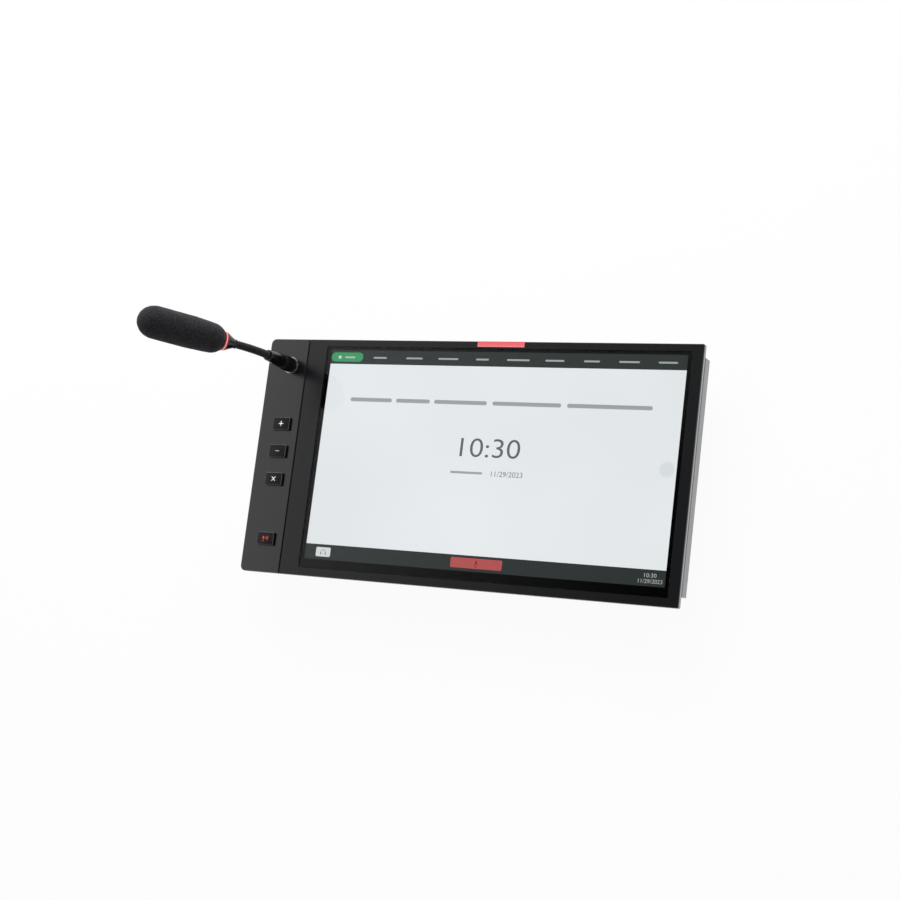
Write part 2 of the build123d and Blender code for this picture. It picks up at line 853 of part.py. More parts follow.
def main_housing():
    """The display's deck, which seats on the desk, and the shallow wall round it."""
    deck = sheet(bezel_left + deck_inset, bezel_right - deck_inset, -half_height + deck_inset,
                 half_height - deck_inset, 0, deck_thickness, 0, bezel_corner)
    outer = block(link_wall, main_wall_right, -wall_y, wall_y, chassis_z, 0)
    inner = block(link_wall + wall, main_wall_right - wall, -wall_y + wall, wall_y - wall,
                  chassis_z - overrun, deck_relief)
    body = deck + outer - inner
    floor = chassis_z + chassis_thickness
    boss_y = wall_y - chassis_boss_drop
    middle = link_wall + (main_wall_right - link_wall) * chassis_boss_middle_share
    for x in (link_wall + chassis_boss_left, middle, main_wall_right - chassis_boss_right):
        for y in (-boss_y, boss_y):
            body += block(x - boss_half, x + boss_half, y - boss_half, y + boss_half, floor, deck_relief)
    window_y = wall_y - deck_frame_y
    body -= block(screen_left + deck_frame_x, screen_right - deck_frame_x, -window_y, window_y, -overrun,
                  deck_thickness + overrun)
    rib_y = wall_y - link_rib_end
    body += block(strip_wall_right, link_wall, -rib_y, rib_y, link_z - link_rib_half_height,
                  link_z + link_rib_half_height)
    for y in link_bolt_ys:
        body -= bar_along_x(link_bolt_radius + link_hole_gap, strip_wall_right - overrun,
                            link_wall + wall + overrun, y, link_z)
    return body - grommet_block(strip_wall_right - overrun, link_wall + wall + overrun)


def standoff_places():
    """The main board's four corners, where its standoffs stand."""
    xs = (board_right - board_width + standoff_edge, board_right - standoff_edge)
    ys = (board_top_y - standoff_edge, board_top_y - board_height + standoff_edge)
    return [(x, y) for x in xs for y in ys]


def chassis_plate():
    """The plate that closes the display's housing and carries the main board."""
    x0 = link_wall + wall + chassis_gap
    x1 = main_wall_right - wall - chassis_gap
    half = wall_y - wall - chassis_gap
    plate = block(x0, x1, -half, half, chassis_z, chassis_z + chassis_thickness)
    wx, wy = cable_window_width / 2, cable_window_height / 2
    return plate - block(cable_window_x - wx, cable_window_x + wx, grommet_y - wy, grommet_y + wy,
                         chassis_z - overrun, chassis_z + chassis_thickness + overrun)


def jack_windows():
    """Each socket's middle and size at the rear cover's top wall: x, width, height."""
    rows = [(x, network_width, network_height) for x in network_xs.values()]
    return rows + [(usb_x, usb_width, usb_height), (video_x, video_width, video_height)]


def bracket_places():
    """The four bracket holes in the rear cover."""
    half = bracket_pitch / 2
    return [(cover_middle + sx * half, sy * half) for sx in (-1, 1) for sy in (-1, 1)]


def rear_cover():
    """The deeper box behind the display, with lips, vents, socket windows and bracket holes."""
    y = cover_half_height
    floor = cover_floor_z
    outline = Pos(cover_middle, 0) * Rectangle(cover_right - cover_left, 2 * y)
    outline = fillet(outline.vertices(), cover_corner)
    shell = Pos(0, 0, box_z) * extrude(outline, chassis_z - box_z)
    lip_y = y - cover_corner
    shell += block(cover_left - cover_lip, cover_right + cover_lip, -lip_y, lip_y,
                   chassis_z - cover_wall, chassis_z)
    shell -= block(cover_left + cover_wall, cover_right - cover_wall, -y + cover_wall, y - cover_wall, floor,
                   chassis_z + overrun)
    half = bracket_boss / 2
    for x, by in bracket_places():
        shell += block(x - half, x + half, by - half, by + half, floor, box_z + bracket_boss_height)
    for x, by in bracket_places():
        shell -= rod(bracket_hole_radius, box_z - overrun, box_z + bracket_boss_height + overrun, x, by)
    top = board_low_z
    for x, width, height in jack_windows():
        reach = width / 2 + window_gap
        shell -= block(x - reach, x + reach, y - cover_wall - overrun, y + overrun,
                       top - height - window_gap, top + window_gap)
    for row in range(vent_rows):
        low = sink_y + (row - vent_rows / 2) * (vent_length + vent_row_gap) + vent_row_gap / 2
        for k in range(vent_count):
            x = sink_x + (k - (vent_count - 1) / 2) * vent_pitch
            shell -= block(x - vent_width / 2, x + vent_width / 2, low, low + vent_length, box_z - overrun,
                           floor + overrun)
    return shell


def main_board():
    """The main circuit board, with its processor on the underside."""
    board = block(board_right - board_width, board_right, board_top_y - board_height, board_top_y,
                  board_low_z, board_z)
    half = chip_size / 2
    return board + block(sink_x - half, sink_x + half, sink_y - half, sink_y + half,
                         board_low_z - chip_thickness, board_low_z)


def board_standoffs():
    """The four hexagonal standoffs between chassis plate and main board."""
    post = extrude(RegularPolygon(standoff_radius, 6), standoff_height)
    return Compound(children=[Pos(x, y, board_z) * post for x, y in standoff_places()])


def heat_sink():
    """The finned heat sink on the processor."""
    top = board_low_z - chip_thickness
    x0, y0 = sink_x - sink_width / 2, sink_y - sink_height / 2
    sink = block(x0, x0 + sink_width, y0, y0 + sink_height, top - sink_base, top)
    pitch = (sink_width - sink_fin) / (sink_fins - 1)
    for k in range(sink_fins):
        sink += block(x0 + k * pitch, x0 + k * pitch + sink_fin, y0, y0 + sink_height,
                      cover_floor_z + sink_floor_gap, top - sink_base)
    return sink


def jack_front():
    """The plane of the sockets' mouths, a little proud of the cover."""
    return cover_half_height + jack_proud


def network_jack(name):
    """A network socket: a plated box with a mouth and a notch for the plug's latch."""
    x = network_xs[name]
    top = board_low_z
    y = jack_front()
    body = block(x - network_width / 2, x + network_width / 2, y - network_depth, y,
                 top - network_height, top)
    mouth_top = top - (network_height - network_mouth_height - network_latch_height) / 2
    mouth_low = mouth_top - network_mouth_height
    body -= block(x - network_mouth_width / 2, x + network_mouth_width / 2, y - network_cavity, y + overrun,
                  mouth_low, mouth_top)
    body -= block(x - network_latch_width / 2, x + network_latch_width / 2, y - network_cavity, y + overrun,
                  mouth_low - network_latch_height, mouth_low)
    return body


def usb_jack():
    """A serial-bus socket with its tongue."""
    top = board_low_z
    y = jack_front()
    body = block(usb_x - usb_width / 2, usb_x + usb_width / 2, y - usb_depth, y, top - usb_height, top)
    mouth_top = top - (usb_height - usb_mouth_height) / 2
    half = usb_mouth_width / 2
    body -= block(usb_x - half, usb_x + half, y - usb_cavity, y + overrun, mouth_top - usb_mouth_height,
                  mouth_top - usb_tongue)
    return body


def video_jack():
    """A video socket with slanted lower corners and a tongue."""
    top = board_low_z
    y = jack_front()
    body = block(video_x - video_width / 2, video_x + video_width / 2, y - video_depth, y,
                 top - video_height, top)
    high = top - (video_height - video_mouth_height) / 2
    low = high - video_mouth_height
    half = video_mouth_width / 2
    mouth = Polyline((video_x - half, high), (video_x + half, high), (video_x + half, low + video_taper),
                     (video_x + half - video_taper, low), (video_x - half + video_taper, low),
                     (video_x - half, low + video_taper), close=True)
    cutter = extrude(make_face(Plane.XZ * mouth), video_cavity + overrun)
    body -= Pos(0, y + overrun, 0) * cutter
    mid = (high + low) / 2
    tongue_half = half - video_taper
    body += block(video_x - tongue_half, video_x + tongue_half, y - video_cavity - overrun, y - overrun,
                  mid - video_tongue / 2, mid + video_tongue / 2)
    return body


# What joins the two modules

def link_bolts():
    """Hexagonal bolts that pull the two modules together."""
    start = strip_wall_right - wall
    end = link_wall + wall + link_nut_height + wall
    parts = []
    for y in link_bolt_ys:
        head = extrude(Plane.YZ * RegularPolygon(link_head_radius, 6), link_head_height)
        head = Pos(start - link_head_height, y, link_z) * head
        parts.append(head + bar_along_x(link_bolt_radius, start, end, y, link_z))
    return Compound(children=parts)


def link_nuts():
    """The nuts on the bolts, inside the display's housing."""
    start = link_wall + wall
    parts = []
    for y in link_bolt_ys:
        nut = extrude(Plane.YZ * RegularPolygon(link_head_radius, 6), link_nut_height)
        bore = bar_along_x(link_bolt_radius, start - overrun, start + link_nut_height + overrun, y, link_z)
        parts.append(Pos(start, y, link_z) * nut - bore)
    return Compound(children=parts)


def grommet_block(x0, x1, grow=0):
    """A block along X through the wires' window, or one larger all round."""
    return block(x0, x1, grommet_y - grommet_half_length - grow, grommet_y + grommet_half_length + grow,
                 link_z - grommet_half_height - grow, link_z + grommet_half_height + grow)


def link_grommet():
    """The rubber bush that lines the wires' window through both walls."""
    x0, x1 = strip_wall_right - wall, link_wall + wall
    bush = grommet_block(x0, x1)
    bush += grommet_block(x0 - grommet_lip_width, x0, grommet_lip)
    bush += grommet_block(x1, x1 + grommet_lip_width, grommet_lip)
    reach = grommet_lip_width + overrun
    return bush - grommet_block(x0 - reach, x1 + reach, -grommet_wall)


def all_parts():
    """Every node's name and solid."""
    parts = {
        "mic_module_plate": mic_module_plate(),
        "mic_module_housing": mic_module_housing(),
        "mic_module_lid": mic_module_lid(),
        "keypad_board": keypad_board(),
        "key_contacts": key_contacts(),
        "socket_shell": socket_shell(),
        "socket_insert": socket_insert(),
        "socket_pins": socket_pins(),
        "socket_nut": socket_nut(),
        "plug_shell": plug_shell(),
        "plug_insert": plug_insert(),
        "lock_collar": lock_collar(),
        "stem_sleeve": stem_sleeve(),
        "neck_base": neck_base(),
        "neck_top": neck_top(),
        "head_cone": head_cone(),
        "light_ring": light_ring(),
        "ring_board": ring_board(),
        "capsule_tube": capsule_tube(),
        "mic_capsule": mic_capsule(),
        "windscreen": windscreen(),
        "display_frame": display_frame(),
        "touch_glass": touch_glass(),
        "lcd_panel": lcd_panel(),
        "light_bar_lens": light_bar_lens(),
        "light_bar_board": light_bar_board(),
        "main_housing": main_housing(),
        "chassis_plate": chassis_plate(),
        "rear_cover": rear_cover(),
        "main_board": main_board(),
        "board_standoffs": board_standoffs(),
        "heat_sink": heat_sink(),
        "usb_jack": usb_jack(),
        "video_jack": video_jack(),
        "link_bolts": link_bolts(),
        "link_nuts": link_nuts(),
        "link_grommet": link_grommet(),
    }
    for name in key_shares:
        parts[name + "_key"] = key_cap(name)
        parts[name + "_dome"] = key_dome(name)
    for name in network_places:
        parts[name] = network_jack(name)
    for index in range(neck_joints - 1):
        parts["neck_link_" + str(index + 1)] = neck_link(index)
    return parts


os.makedirs("parts", exist_ok=True)
for node, solid in all_parts().items():
    export_step(solid, "parts/" + node + ".step")
    print(node, len(solid.solids()), "solid, volume", round(solid.volume, 1))
for number, place in enumerate(neck_places()):
    print("ball", number + 1, [round(v, 3) for v in place.origin], [round(v, 5) for v in place.z_dir])
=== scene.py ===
# %% [markdown]
# # A desk-inset conference unit in Blender
#
# The real thing is a dark metal panel let into a conference table: a wide touch display, a
# narrow strip with four push keys on its left, and a plug-in gooseneck microphone with a foam
# windscreen and a lit ring. This lesson dresses a finished CAD model of it. We load that model
# as a fixed frame first, because every new piece sits where the CAD says, and most ride on
# one of its moving bodies.

# %% Load the frame
import json
import math

import bmesh
import bpy
from mathutils import Matrix, Vector, noise


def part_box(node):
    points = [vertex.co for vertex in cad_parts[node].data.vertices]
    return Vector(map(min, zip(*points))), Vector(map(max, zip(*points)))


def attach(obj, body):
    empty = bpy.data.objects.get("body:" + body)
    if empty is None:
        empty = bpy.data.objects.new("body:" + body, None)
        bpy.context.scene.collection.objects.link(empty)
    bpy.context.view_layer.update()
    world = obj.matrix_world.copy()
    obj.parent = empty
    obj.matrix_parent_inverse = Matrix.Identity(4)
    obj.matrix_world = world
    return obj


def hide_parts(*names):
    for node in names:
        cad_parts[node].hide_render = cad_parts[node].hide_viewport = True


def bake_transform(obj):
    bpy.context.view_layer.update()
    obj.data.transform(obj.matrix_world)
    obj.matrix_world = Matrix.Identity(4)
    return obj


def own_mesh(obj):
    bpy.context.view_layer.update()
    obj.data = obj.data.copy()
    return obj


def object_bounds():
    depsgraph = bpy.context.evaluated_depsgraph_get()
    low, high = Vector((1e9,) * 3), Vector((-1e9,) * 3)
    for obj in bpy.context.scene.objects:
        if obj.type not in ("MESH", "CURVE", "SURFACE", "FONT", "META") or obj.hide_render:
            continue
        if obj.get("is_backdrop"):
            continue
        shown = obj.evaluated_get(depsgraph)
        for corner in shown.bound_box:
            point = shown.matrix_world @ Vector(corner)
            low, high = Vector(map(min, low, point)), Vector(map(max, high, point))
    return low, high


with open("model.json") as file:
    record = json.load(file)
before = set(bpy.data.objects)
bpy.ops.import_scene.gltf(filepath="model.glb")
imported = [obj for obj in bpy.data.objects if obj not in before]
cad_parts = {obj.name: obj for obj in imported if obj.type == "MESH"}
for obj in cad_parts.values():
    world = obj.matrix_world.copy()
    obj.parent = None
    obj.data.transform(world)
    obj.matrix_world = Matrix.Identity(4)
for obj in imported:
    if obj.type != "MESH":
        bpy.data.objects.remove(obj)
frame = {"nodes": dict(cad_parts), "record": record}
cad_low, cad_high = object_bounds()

MM = 0.001


def node_box(name):
    """The lowest and highest corner of a CAD node, in millimetres."""
    low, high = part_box(name)
    return low / MM, high / MM


print("panel face at z", round(node_box("display_frame")[1].z, 3), "mm")

# %% [markdown]
# ## Camera
#
# The photograph looks down on the screen from the lower right, with a fairly long lens. The
# camera's three axes and its place were worked out from the corners of the panel, so they are
# set as one matrix. An Euler angle or a tracking constraint would do as well, but a matrix
# keeps the exact roll.

# %% Camera at the photograph's angle
CAMERA_RIGHT = Vector((0.8868, 0.1209, -0.4461))
CAMERA_UP = Vector((-0.0400, 0.9816, 0.1866))
CAMERA_BACK = Vector((0.4604, -0.1477, 0.8753))
CAMERA_PLACE = Vector((0.6643, -0.2052, 1.2900))
CAMERA_LENS = 67.02

view_matrix = Matrix((CAMERA_RIGHT, CAMERA_UP, CAMERA_BACK)).transposed().to_4x4()
view_matrix.translation = CAMERA_PLACE
camera_data = bpy.data.cameras.new("Camera")
camera_data.sensor_width = 36.0
camera_data.lens = CAMERA_LENS
camera = bpy.data.objects.new("Camera", camera_data)
camera.matrix_world = view_matrix
bpy.context.scene.collection.objects.link(camera)
bpy.context.scene.camera = camera
bpy.context.scene.view_settings.view_transform = "Standard"
print("camera", [round(v, 3) for v in CAMERA_PLACE], "lens", CAMERA_LENS)

# %% [markdown]
# ## Nodes in few words
#
# Each material is a small tree of nodes. A few helpers keep the trees readable: the first two
# fill a socket and add a node, and the others give the outputs that come back again and again,
# such as the piece's own coordinates or a colour made darker.

# %% Helpers for single nodes
def set_socket(socket, value):
    """Sets a socket's own value; a colour of three parts is given its fourth."""
    three_parts = socket.type == "RGBA" and len(value) == 3
    socket.default_value = (*value, 1.0) if three_parts else value


def add_node(tree, kind, settings=None, **sockets):
    """Adds a node; socket names are given with underscores for spaces."""
    made = tree.nodes.new(kind)
    for name, value in (settings or {}).items():
        setattr(made, name, value)
    for name, value in sockets.items():
        numbered = name[0] == "i" and name[1:].isdigit()
        socket = made.inputs[int(name[1:]) if numbered else name.replace("_", " ")]
        if isinstance(value, bpy.types.NodeSocket):
            tree.links.new(value, socket)
        else:
            set_socket(socket, value)
    return made


def math_node(tree, operation, *values):
    """A Math node with up to three values or links; gives its output."""
    sockets = {"i" + str(k): value for k, value in enumerate(values)}
    return add_node(tree, "ShaderNodeMath", {"operation": operation}, **sockets).outputs[0]


def vector_node(tree, operation, first, second):
    """A Vector Math node with two values or links; gives the node."""
    return add_node(tree, "ShaderNodeVectorMath", {"operation": operation}, i0=first, i1=second)


def coordinates_of(tree, kind="Object"):
    """The piece's own coordinates or, as Normal, the way each point faces."""
    return tree.nodes.new("ShaderNodeTexCoord").outputs[kind]


def parts_of(tree, kind="Object"):
    """X, Y and Z of the piece's own coordinates or normal."""
    return add_node(tree, "ShaderNodeSeparateXYZ", Vector=coordinates_of(tree, kind)).outputs


def ramped(tree, value, start, stop, low=0.0, high=1.0, smooth=False):
    """A value that runs from low to high while another runs from start to stop."""
    settings = {"interpolation_type": "SMOOTHSTEP"} if smooth else None
    return add_node(tree, "ShaderNodeMapRange", settings, Value=value, From_Min=start, From_Max=stop,
                    To_Min=low, To_Max=high).outputs["Result"]


def shaded(tree, color, share):
    """A colour made darker or lighter by a share."""
    scaled = add_node(tree, "ShaderNodeVectorMath", {"operation": "SCALE"}, i0=color, Scale=share)
    return scaled.outputs["Vector"]


def mixed_color(tree, share, first, second):
    """The first colour where the share is 0, the second where it is 1."""
    mix = add_node(tree, "ShaderNodeMix", {"data_type": "RGBA"}, Factor=share, i6=first, i7=second)
    return mix.outputs[2]


print("node helpers ready")

# %% [markdown]
# Three more helpers work on whole trees: an empty group with named sockets, a material whose
# plain numbers are set on the shader itself, and the last step of nearly every material, which
# links a colour, a roughness and a relief to its shader.

# %% Helpers for whole trees
def new_group(name, inputs, outputs):
    """An empty shader node group with named sockets, and its two end nodes."""
    group = bpy.data.node_groups.new(name, "ShaderNodeTree")
    kinds = {"color": "NodeSocketColor", "value": "NodeSocketFloat", "vector": "NodeSocketVector"}
    for title, kind in inputs.items():
        group.interface.new_socket(title, in_out="INPUT", socket_type=kinds[kind])
    for title, kind in outputs.items():
        group.interface.new_socket(title, in_out="OUTPUT", socket_type=kinds[kind])
    return group, group.nodes.new("NodeGroupInput"), group.nodes.new("NodeGroupOutput")


def new_material(name, **plain):
    """A material with a Principled shader whose plain numbers are set on its own sockets."""
    material = bpy.data.materials.new(name)
    material.use_nodes = True
    shader = material.node_tree.nodes["Principled BSDF"]
    for title, value in plain.items():
        set_socket(shader.inputs[title.replace("_", " ")], value)
    return material, material.node_tree, shader


def link_finish(tree, shader, color, rough, height=None, depth_mm=0.0, strength=1.0):
    """Links a colour, a roughness and, where there is one, a relief to the shader."""
    tree.links.new(color, shader.inputs["Base Color"])
    tree.links.new(rough, shader.inputs["Roughness"])
    if height:
        bump = add_node(tree, "ShaderNodeBump", Height=height, Distance=depth_mm * MM, Strength=strength)
        tree.links.new(bump.outputs["Normal"], shader.inputs["Normal"])


print("tree helpers ready")

# %% [markdown]
# ## Grain: one effect for most finishes
#
# Paint, moulded plastic, anodised metal and rubber all have a fine grain that catches light,
# and a slow cloudiness from handling. One group makes both from two noise textures on Object
# coordinates, so every material can place it with its own scale and strength. The group gives
# a colour, a roughness and a height; the Bump node stays in the material.

# %% The grain group
def finish_group(name, steering, kind):
    """An empty group with the sockets of a finish; the steering input sizes its pattern."""
    inputs = {"Color": "color", "Roughness": "value", steering: kind, "Shade": "value", "Spread": "value"}
    return new_group(name, inputs, {"Color": "color", "Roughness": "value", "Height": "value"})


def complete(tree, given, made, pattern, height):
    """Lets a pattern about one half shade a group's colour and roughness, and links its outputs."""
    swing = math_node(tree, "SUBTRACT", pattern, 0.5)
    shade = math_node(tree, "ADD", math_node(tree, "MULTIPLY", swing, given.outputs["Shade"]), 1.0)
    spread = math_node(tree, "MULTIPLY", swing, given.outputs["Spread"])
    tree.links.new(shaded(tree, given.outputs["Color"], shade), made.inputs["Color"])
    tree.links.new(math_node(tree, "ADD", spread, given.outputs["Roughness"]), made.inputs["Roughness"])
    tree.links.new(height, made.inputs["Height"])
    print("group", tree.name, "with", len(tree.nodes), "nodes")


grain_group, given, made = finish_group("Fine grain", "Scale", "value")
place = coordinates_of(grain_group)
fine = add_node(grain_group, "ShaderNodeTexNoise", Vector=place, Scale=given.outputs["Scale"], Detail=3.0)
slow = add_node(grain_group, "ShaderNodeTexNoise", Vector=place, Scale=26.0, Detail=4.0, Roughness=0.6)
halves = [math_node(grain_group, "MULTIPLY", noise_node.outputs["Fac"], 0.5) for noise_node in (fine, slow)]
complete(grain_group, given, made, math_node(grain_group, "ADD", *halves), fine.outputs["Fac"])

# %% [markdown]
# ## Brushed lines
#
# Bare extrusions and rolled sheet carry fine lines in one direction. The same noise, stretched
# a hundredfold along that direction, looks like them. The stretch is an input, so that one
# group serves the bezel's bright sides, the housing and the heat sink.

# %% The brushed group
brushed_group, given, made = finish_group("Brushed lines", "Stretch", "vector")
stretched = vector_node(brushed_group, "MULTIPLY", coordinates_of(brushed_group), given.outputs["Stretch"])
lines = add_node(brushed_group, "ShaderNodeTexNoise", Vector=stretched.outputs["Vector"], Scale=1.0,
                 Detail=5.0, Roughness=0.7).outputs["Fac"]
complete(brushed_group, given, made, lines, lines)

# %% [markdown]
# ## Lit picture
#
# A display is not one flat white: the backlight falls off a little towards the corners, and
# close up there is a grid of pixels. The group multiplies a colour by both. Its output feeds
# Emission Color only.

# %% The lit picture group
PICTURE_MIDDLE = (0.0264, 0.0034, 0.0)
CORNER_FALL, CLOUDINESS = 1.2, 0.12
PIXELS_PER_METRE, PIXEL_GAP = 5580.0, 0.05
picture_group, given, made = new_group("Lit picture", {"Color": "color", "Grid": "value"}, {"Color": "color"})
tree = picture_group
place = coordinates_of(tree)
from_middle = vector_node(tree, "SUBTRACT", place, PICTURE_MIDDLE)
reach = add_node(tree, "ShaderNodeVectorMath", {"operation": "LENGTH"}, i0=from_middle.outputs["Vector"])
fall = math_node(tree, "MULTIPLY", math_node(tree, "POWER", reach.outputs["Value"], 2.0), CORNER_FALL)
cloud = add_node(tree, "ShaderNodeTexNoise", Vector=place, Scale=7.0, Detail=1.0)
haze = math_node(tree, "MULTIPLY", math_node(tree, "SUBTRACT", cloud.outputs["Fac"], 0.5), CLOUDINESS)
along = add_node(tree, "ShaderNodeSeparateXYZ", Vector=place).outputs
column, row = [math_node(tree, "PINGPONG", math_node(tree, "MULTIPLY", along[way], PIXELS_PER_METRE), 0.5)
               for way in ("X", "Y")]
gap = math_node(tree, "LESS_THAN", math_node(tree, "MINIMUM", column, row), PIXEL_GAP)
dim = math_node(tree, "MULTIPLY", gap, given.outputs["Grid"])
level = math_node(tree, "SUBTRACT", math_node(tree, "ADD", math_node(tree, "SUBTRACT", 1.0, fall), haze), dim)
tree.links.new(shaded(tree, given.outputs["Color"], level), made.inputs["Color"])
print("group", tree.name, "with", len(tree.nodes), "nodes")

# %% [markdown]
# ## Plain finishes
#
# With the groups built, a finish is one row of a table: which group, what colour, how rough,
# how metallic, the grain's scale and strengths, and the depth of its bump in millimetres. The
# colours are linear, so a dark grey of 0.02 is close to black on screen.

# %% Finishes from the two groups
def patterned(tree, group, color, roughness, texture, shade, spread):
    """Places the grain or the brushed group in a material; gives its outputs."""
    steering = "Stretch" if group is brushed_group else "Scale"
    return add_node(tree, "ShaderNodeGroup", {"node_tree": group}, Color=color, Roughness=roughness,
                    Shade=shade, Spread=spread, **{steering: texture}).outputs


def finish_from(name, group, color, roughness, texture, shade, spread, depth_mm, **plain):
    """A material whose colour, roughness and relief come from one group."""
    material, tree, shader = new_material(name, **plain)
    grain = patterned(tree, group, color, roughness, texture, shade, spread)
    link_finish(tree, shader, grain["Color"], grain["Roughness"], grain["Height"], depth_mm)
    return material


def grainy(name, *row, **plain):
    """A finish from the grain group."""
    return finish_from(name, grain_group, *row, **plain)


def brushed(name, *row):
    """A metal from the brushed group."""
    return finish_from(name, brushed_group, *row, Metallic=1.0)


ALONG_Y = (2600.0, 22.0, 2600.0)
ALONG_X = (22.0, 2600.0, 2600.0)
dome_rubber = grainy("Dome rubber", (0.3, 0.3, 0.31), 0.7, 900.0, 0.3, 0.2, 0.01)
gilt = grainy("Gilt", (0.78, 0.52, 0.18), 0.25, 3000.0, 0.25, 0.2, 0.002, Metallic=1.0)
chrome = grainy("Chrome", (0.66, 0.67, 0.69), 0.14, 1800.0, 0.12, 0.12, 0.0008, Metallic=1.0)
bright_lip = grainy("Bright lip", (0.86, 0.87, 0.89), 0.32, 1800.0, 0.12, 0.12, 0.0008, Metallic=0.7)
insulator = grainy("Insulator", (0.02, 0.02, 0.021), 0.35, 1500.0, 0.4, 0.2, 0.004)
smoked_chrome = grainy("Smoked chrome", (0.08, 0.08, 0.083), 0.24, 1800.0, 0.2, 0.15, 0.001, Metallic=1.0)
zinc = grainy("Zinc plate", (0.5, 0.51, 0.52), 0.32, 2200.0, 0.35, 0.3, 0.003, Metallic=1.0)
gloss_black = grainy("Gloss black", (0.006, 0.006, 0.007), 0.2, 1300.0, 0.3, 0.14, 0.0006, Coat_Weight=0.12,
                     Coat_Roughness=0.1, Specular_IOR_Level=0.3)
satin_black = grainy("Satin black", (0.008, 0.008, 0.009), 0.36, 2600.0, 0.5, 0.2, 0.003)
neck_black = grainy("Neck black", (0.02, 0.02, 0.0215), 0.34, 1500.0, 0.8, 0.3, 0.004,
                    Specular_IOR_Level=0.16)
bush_black = grainy("Bush rubber", (0.02, 0.02, 0.02), 0.8, 1100.0, 0.5, 0.1, 0.01)
tube_grey = brushed("Tube grey", (0.25, 0.25, 0.26), 0.4, ALONG_X, 0.3, 0.2, 0.003)
sink_grey = brushed("Heat sink grey", (0.42, 0.42, 0.43), 0.35, ALONG_Y, 0.4, 0.2, 0.004)
jack_plate = brushed("Socket plating", (0.55, 0.55, 0.55), 0.3, ALONG_Y, 0.3, 0.2, 0.002)
print(len(bpy.data.materials), "materials so far")

# %% [markdown]
# ## Dark front plates with bare sides
#
# The two front plates are dark anodised metal. Their faces are fine-blasted and nearly black;
# the outer sides were cut after anodising, so they are bare and lined along their length. Each
# plate is one solid, so the material tells the two apart: the object-space normal says which
# way a point faces, and its position says if it lies on the outer rim. The strip mirrors a
# little more of the room than the bezel.

# %% Front plate materials
RIM_LEFT, RIM_RIGHT, RIM_END = -0.2055, 0.2116, 0.1087
DARK_LIP = node_box("display_frame")[1].z * MM - 0.0021
DARK_FOOT = node_box("display_frame")[0].z * MM + 0.0007
UPRIGHT = 0.3


def plate_finish(name, color, specular):
    """Blasted dark anodising with bare outer sides."""
    material, tree, shader = new_material(name, Specular_IOR_Level=specular)
    where = parts_of(tree)
    sideways = math_node(tree, "LESS_THAN", parts_of(tree, "Normal")["Z"], UPRIGHT)
    below_lip = math_node(tree, "LESS_THAN", where["Z"], DARK_LIP)
    above_foot = math_node(tree, "GREATER_THAN", where["Z"], DARK_FOOT)
    right = math_node(tree, "GREATER_THAN", where["X"], RIM_RIGHT)
    left = math_node(tree, "LESS_THAN", where["X"], RIM_LEFT)
    ends = math_node(tree, "GREATER_THAN", math_node(tree, "ABSOLUTE", where["Y"]), RIM_END)
    outside = math_node(tree, "MAXIMUM", ends, math_node(tree, "MAXIMUM", left, right))
    bare = math_node(tree, "MULTIPLY", below_lip, above_foot)
    rim = math_node(tree, "MULTIPLY", math_node(tree, "MULTIPLY", sideways, bare), outside)
    blasted = patterned(tree, grain_group, color, 0.25, 3200.0, 0.45, 0.1)
    lined = patterned(tree, brushed_group, (0.36, 0.365, 0.37), 0.3, (60.0, 60.0, 5200.0), 0.9, 0.2)
    color = mixed_color(tree, rim, blasted["Color"], lined["Color"])
    rough = add_node(tree, "ShaderNodeMix", Factor=rim, i2=blasted["Roughness"], i3=lined["Roughness"])
    link_finish(tree, shader, color, rough.outputs[0], blasted["Height"], 0.005)
    tree.links.new(rim, shader.inputs["Metallic"])
    return material


strip_plate = plate_finish("Strip plate", (0.0046, 0.0046, 0.005), 1.0)
bezel_plate = plate_finish("Bezel plate", (0.0036, 0.0042, 0.0052), 0.6)
print("plates are bare from z", round(DARK_FOOT, 5), "to", round(DARK_LIP, 5), "on their outer sides")

# %% [markdown]
# ## Light grey housing
#
# The housings are coated sheet with rolled lines along their length. Between the bezel and the housing runs a
# groove. The deck's edge and the top of the housing wall are coloured near black there, as painted shade in
# the groove. A mask on height and on the outward side gives it.

# %% Housing material
GROOVE_SHADE_FROM, DECK_TOP = -0.0009, node_box("main_housing")[1].z * MM
housing_grey, tree, shader = new_material("Housing grey")
steepness = math_node(tree, "ABSOLUTE", parts_of(tree, "Normal")["Z"])
above_desk = math_node(tree, "GREATER_THAN", parts_of(tree)["Z"], GROOVE_SHADE_FROM)
# painted shade: the deck's edge and the wall's top are coloured near black and lose their metal where the
# groove lies in shadow
groove_shade = math_node(tree, "MULTIPLY", math_node(tree, "LESS_THAN", steepness, UPRIGHT), above_desk)
rolled = patterned(tree, brushed_group, (0.335, 0.34, 0.345), 0.42, ALONG_Y, 1.0, 0.2)
housing_color = mixed_color(tree, groove_shade, rolled["Color"], (0.02, 0.02, 0.021))
link_finish(tree, shader, housing_color, rolled["Roughness"], rolled["Height"], 0.004)
outside_groove_shade = math_node(tree, "SUBTRACT", 1.0, groove_shade)
tree.links.new(math_node(tree, "MULTIPLY", outside_groove_shade, 0.75), shader.inputs["Metallic"])
print("deck edge is dark from z", GROOVE_SHADE_FROM, "up to", round(DECK_TOP, 5))
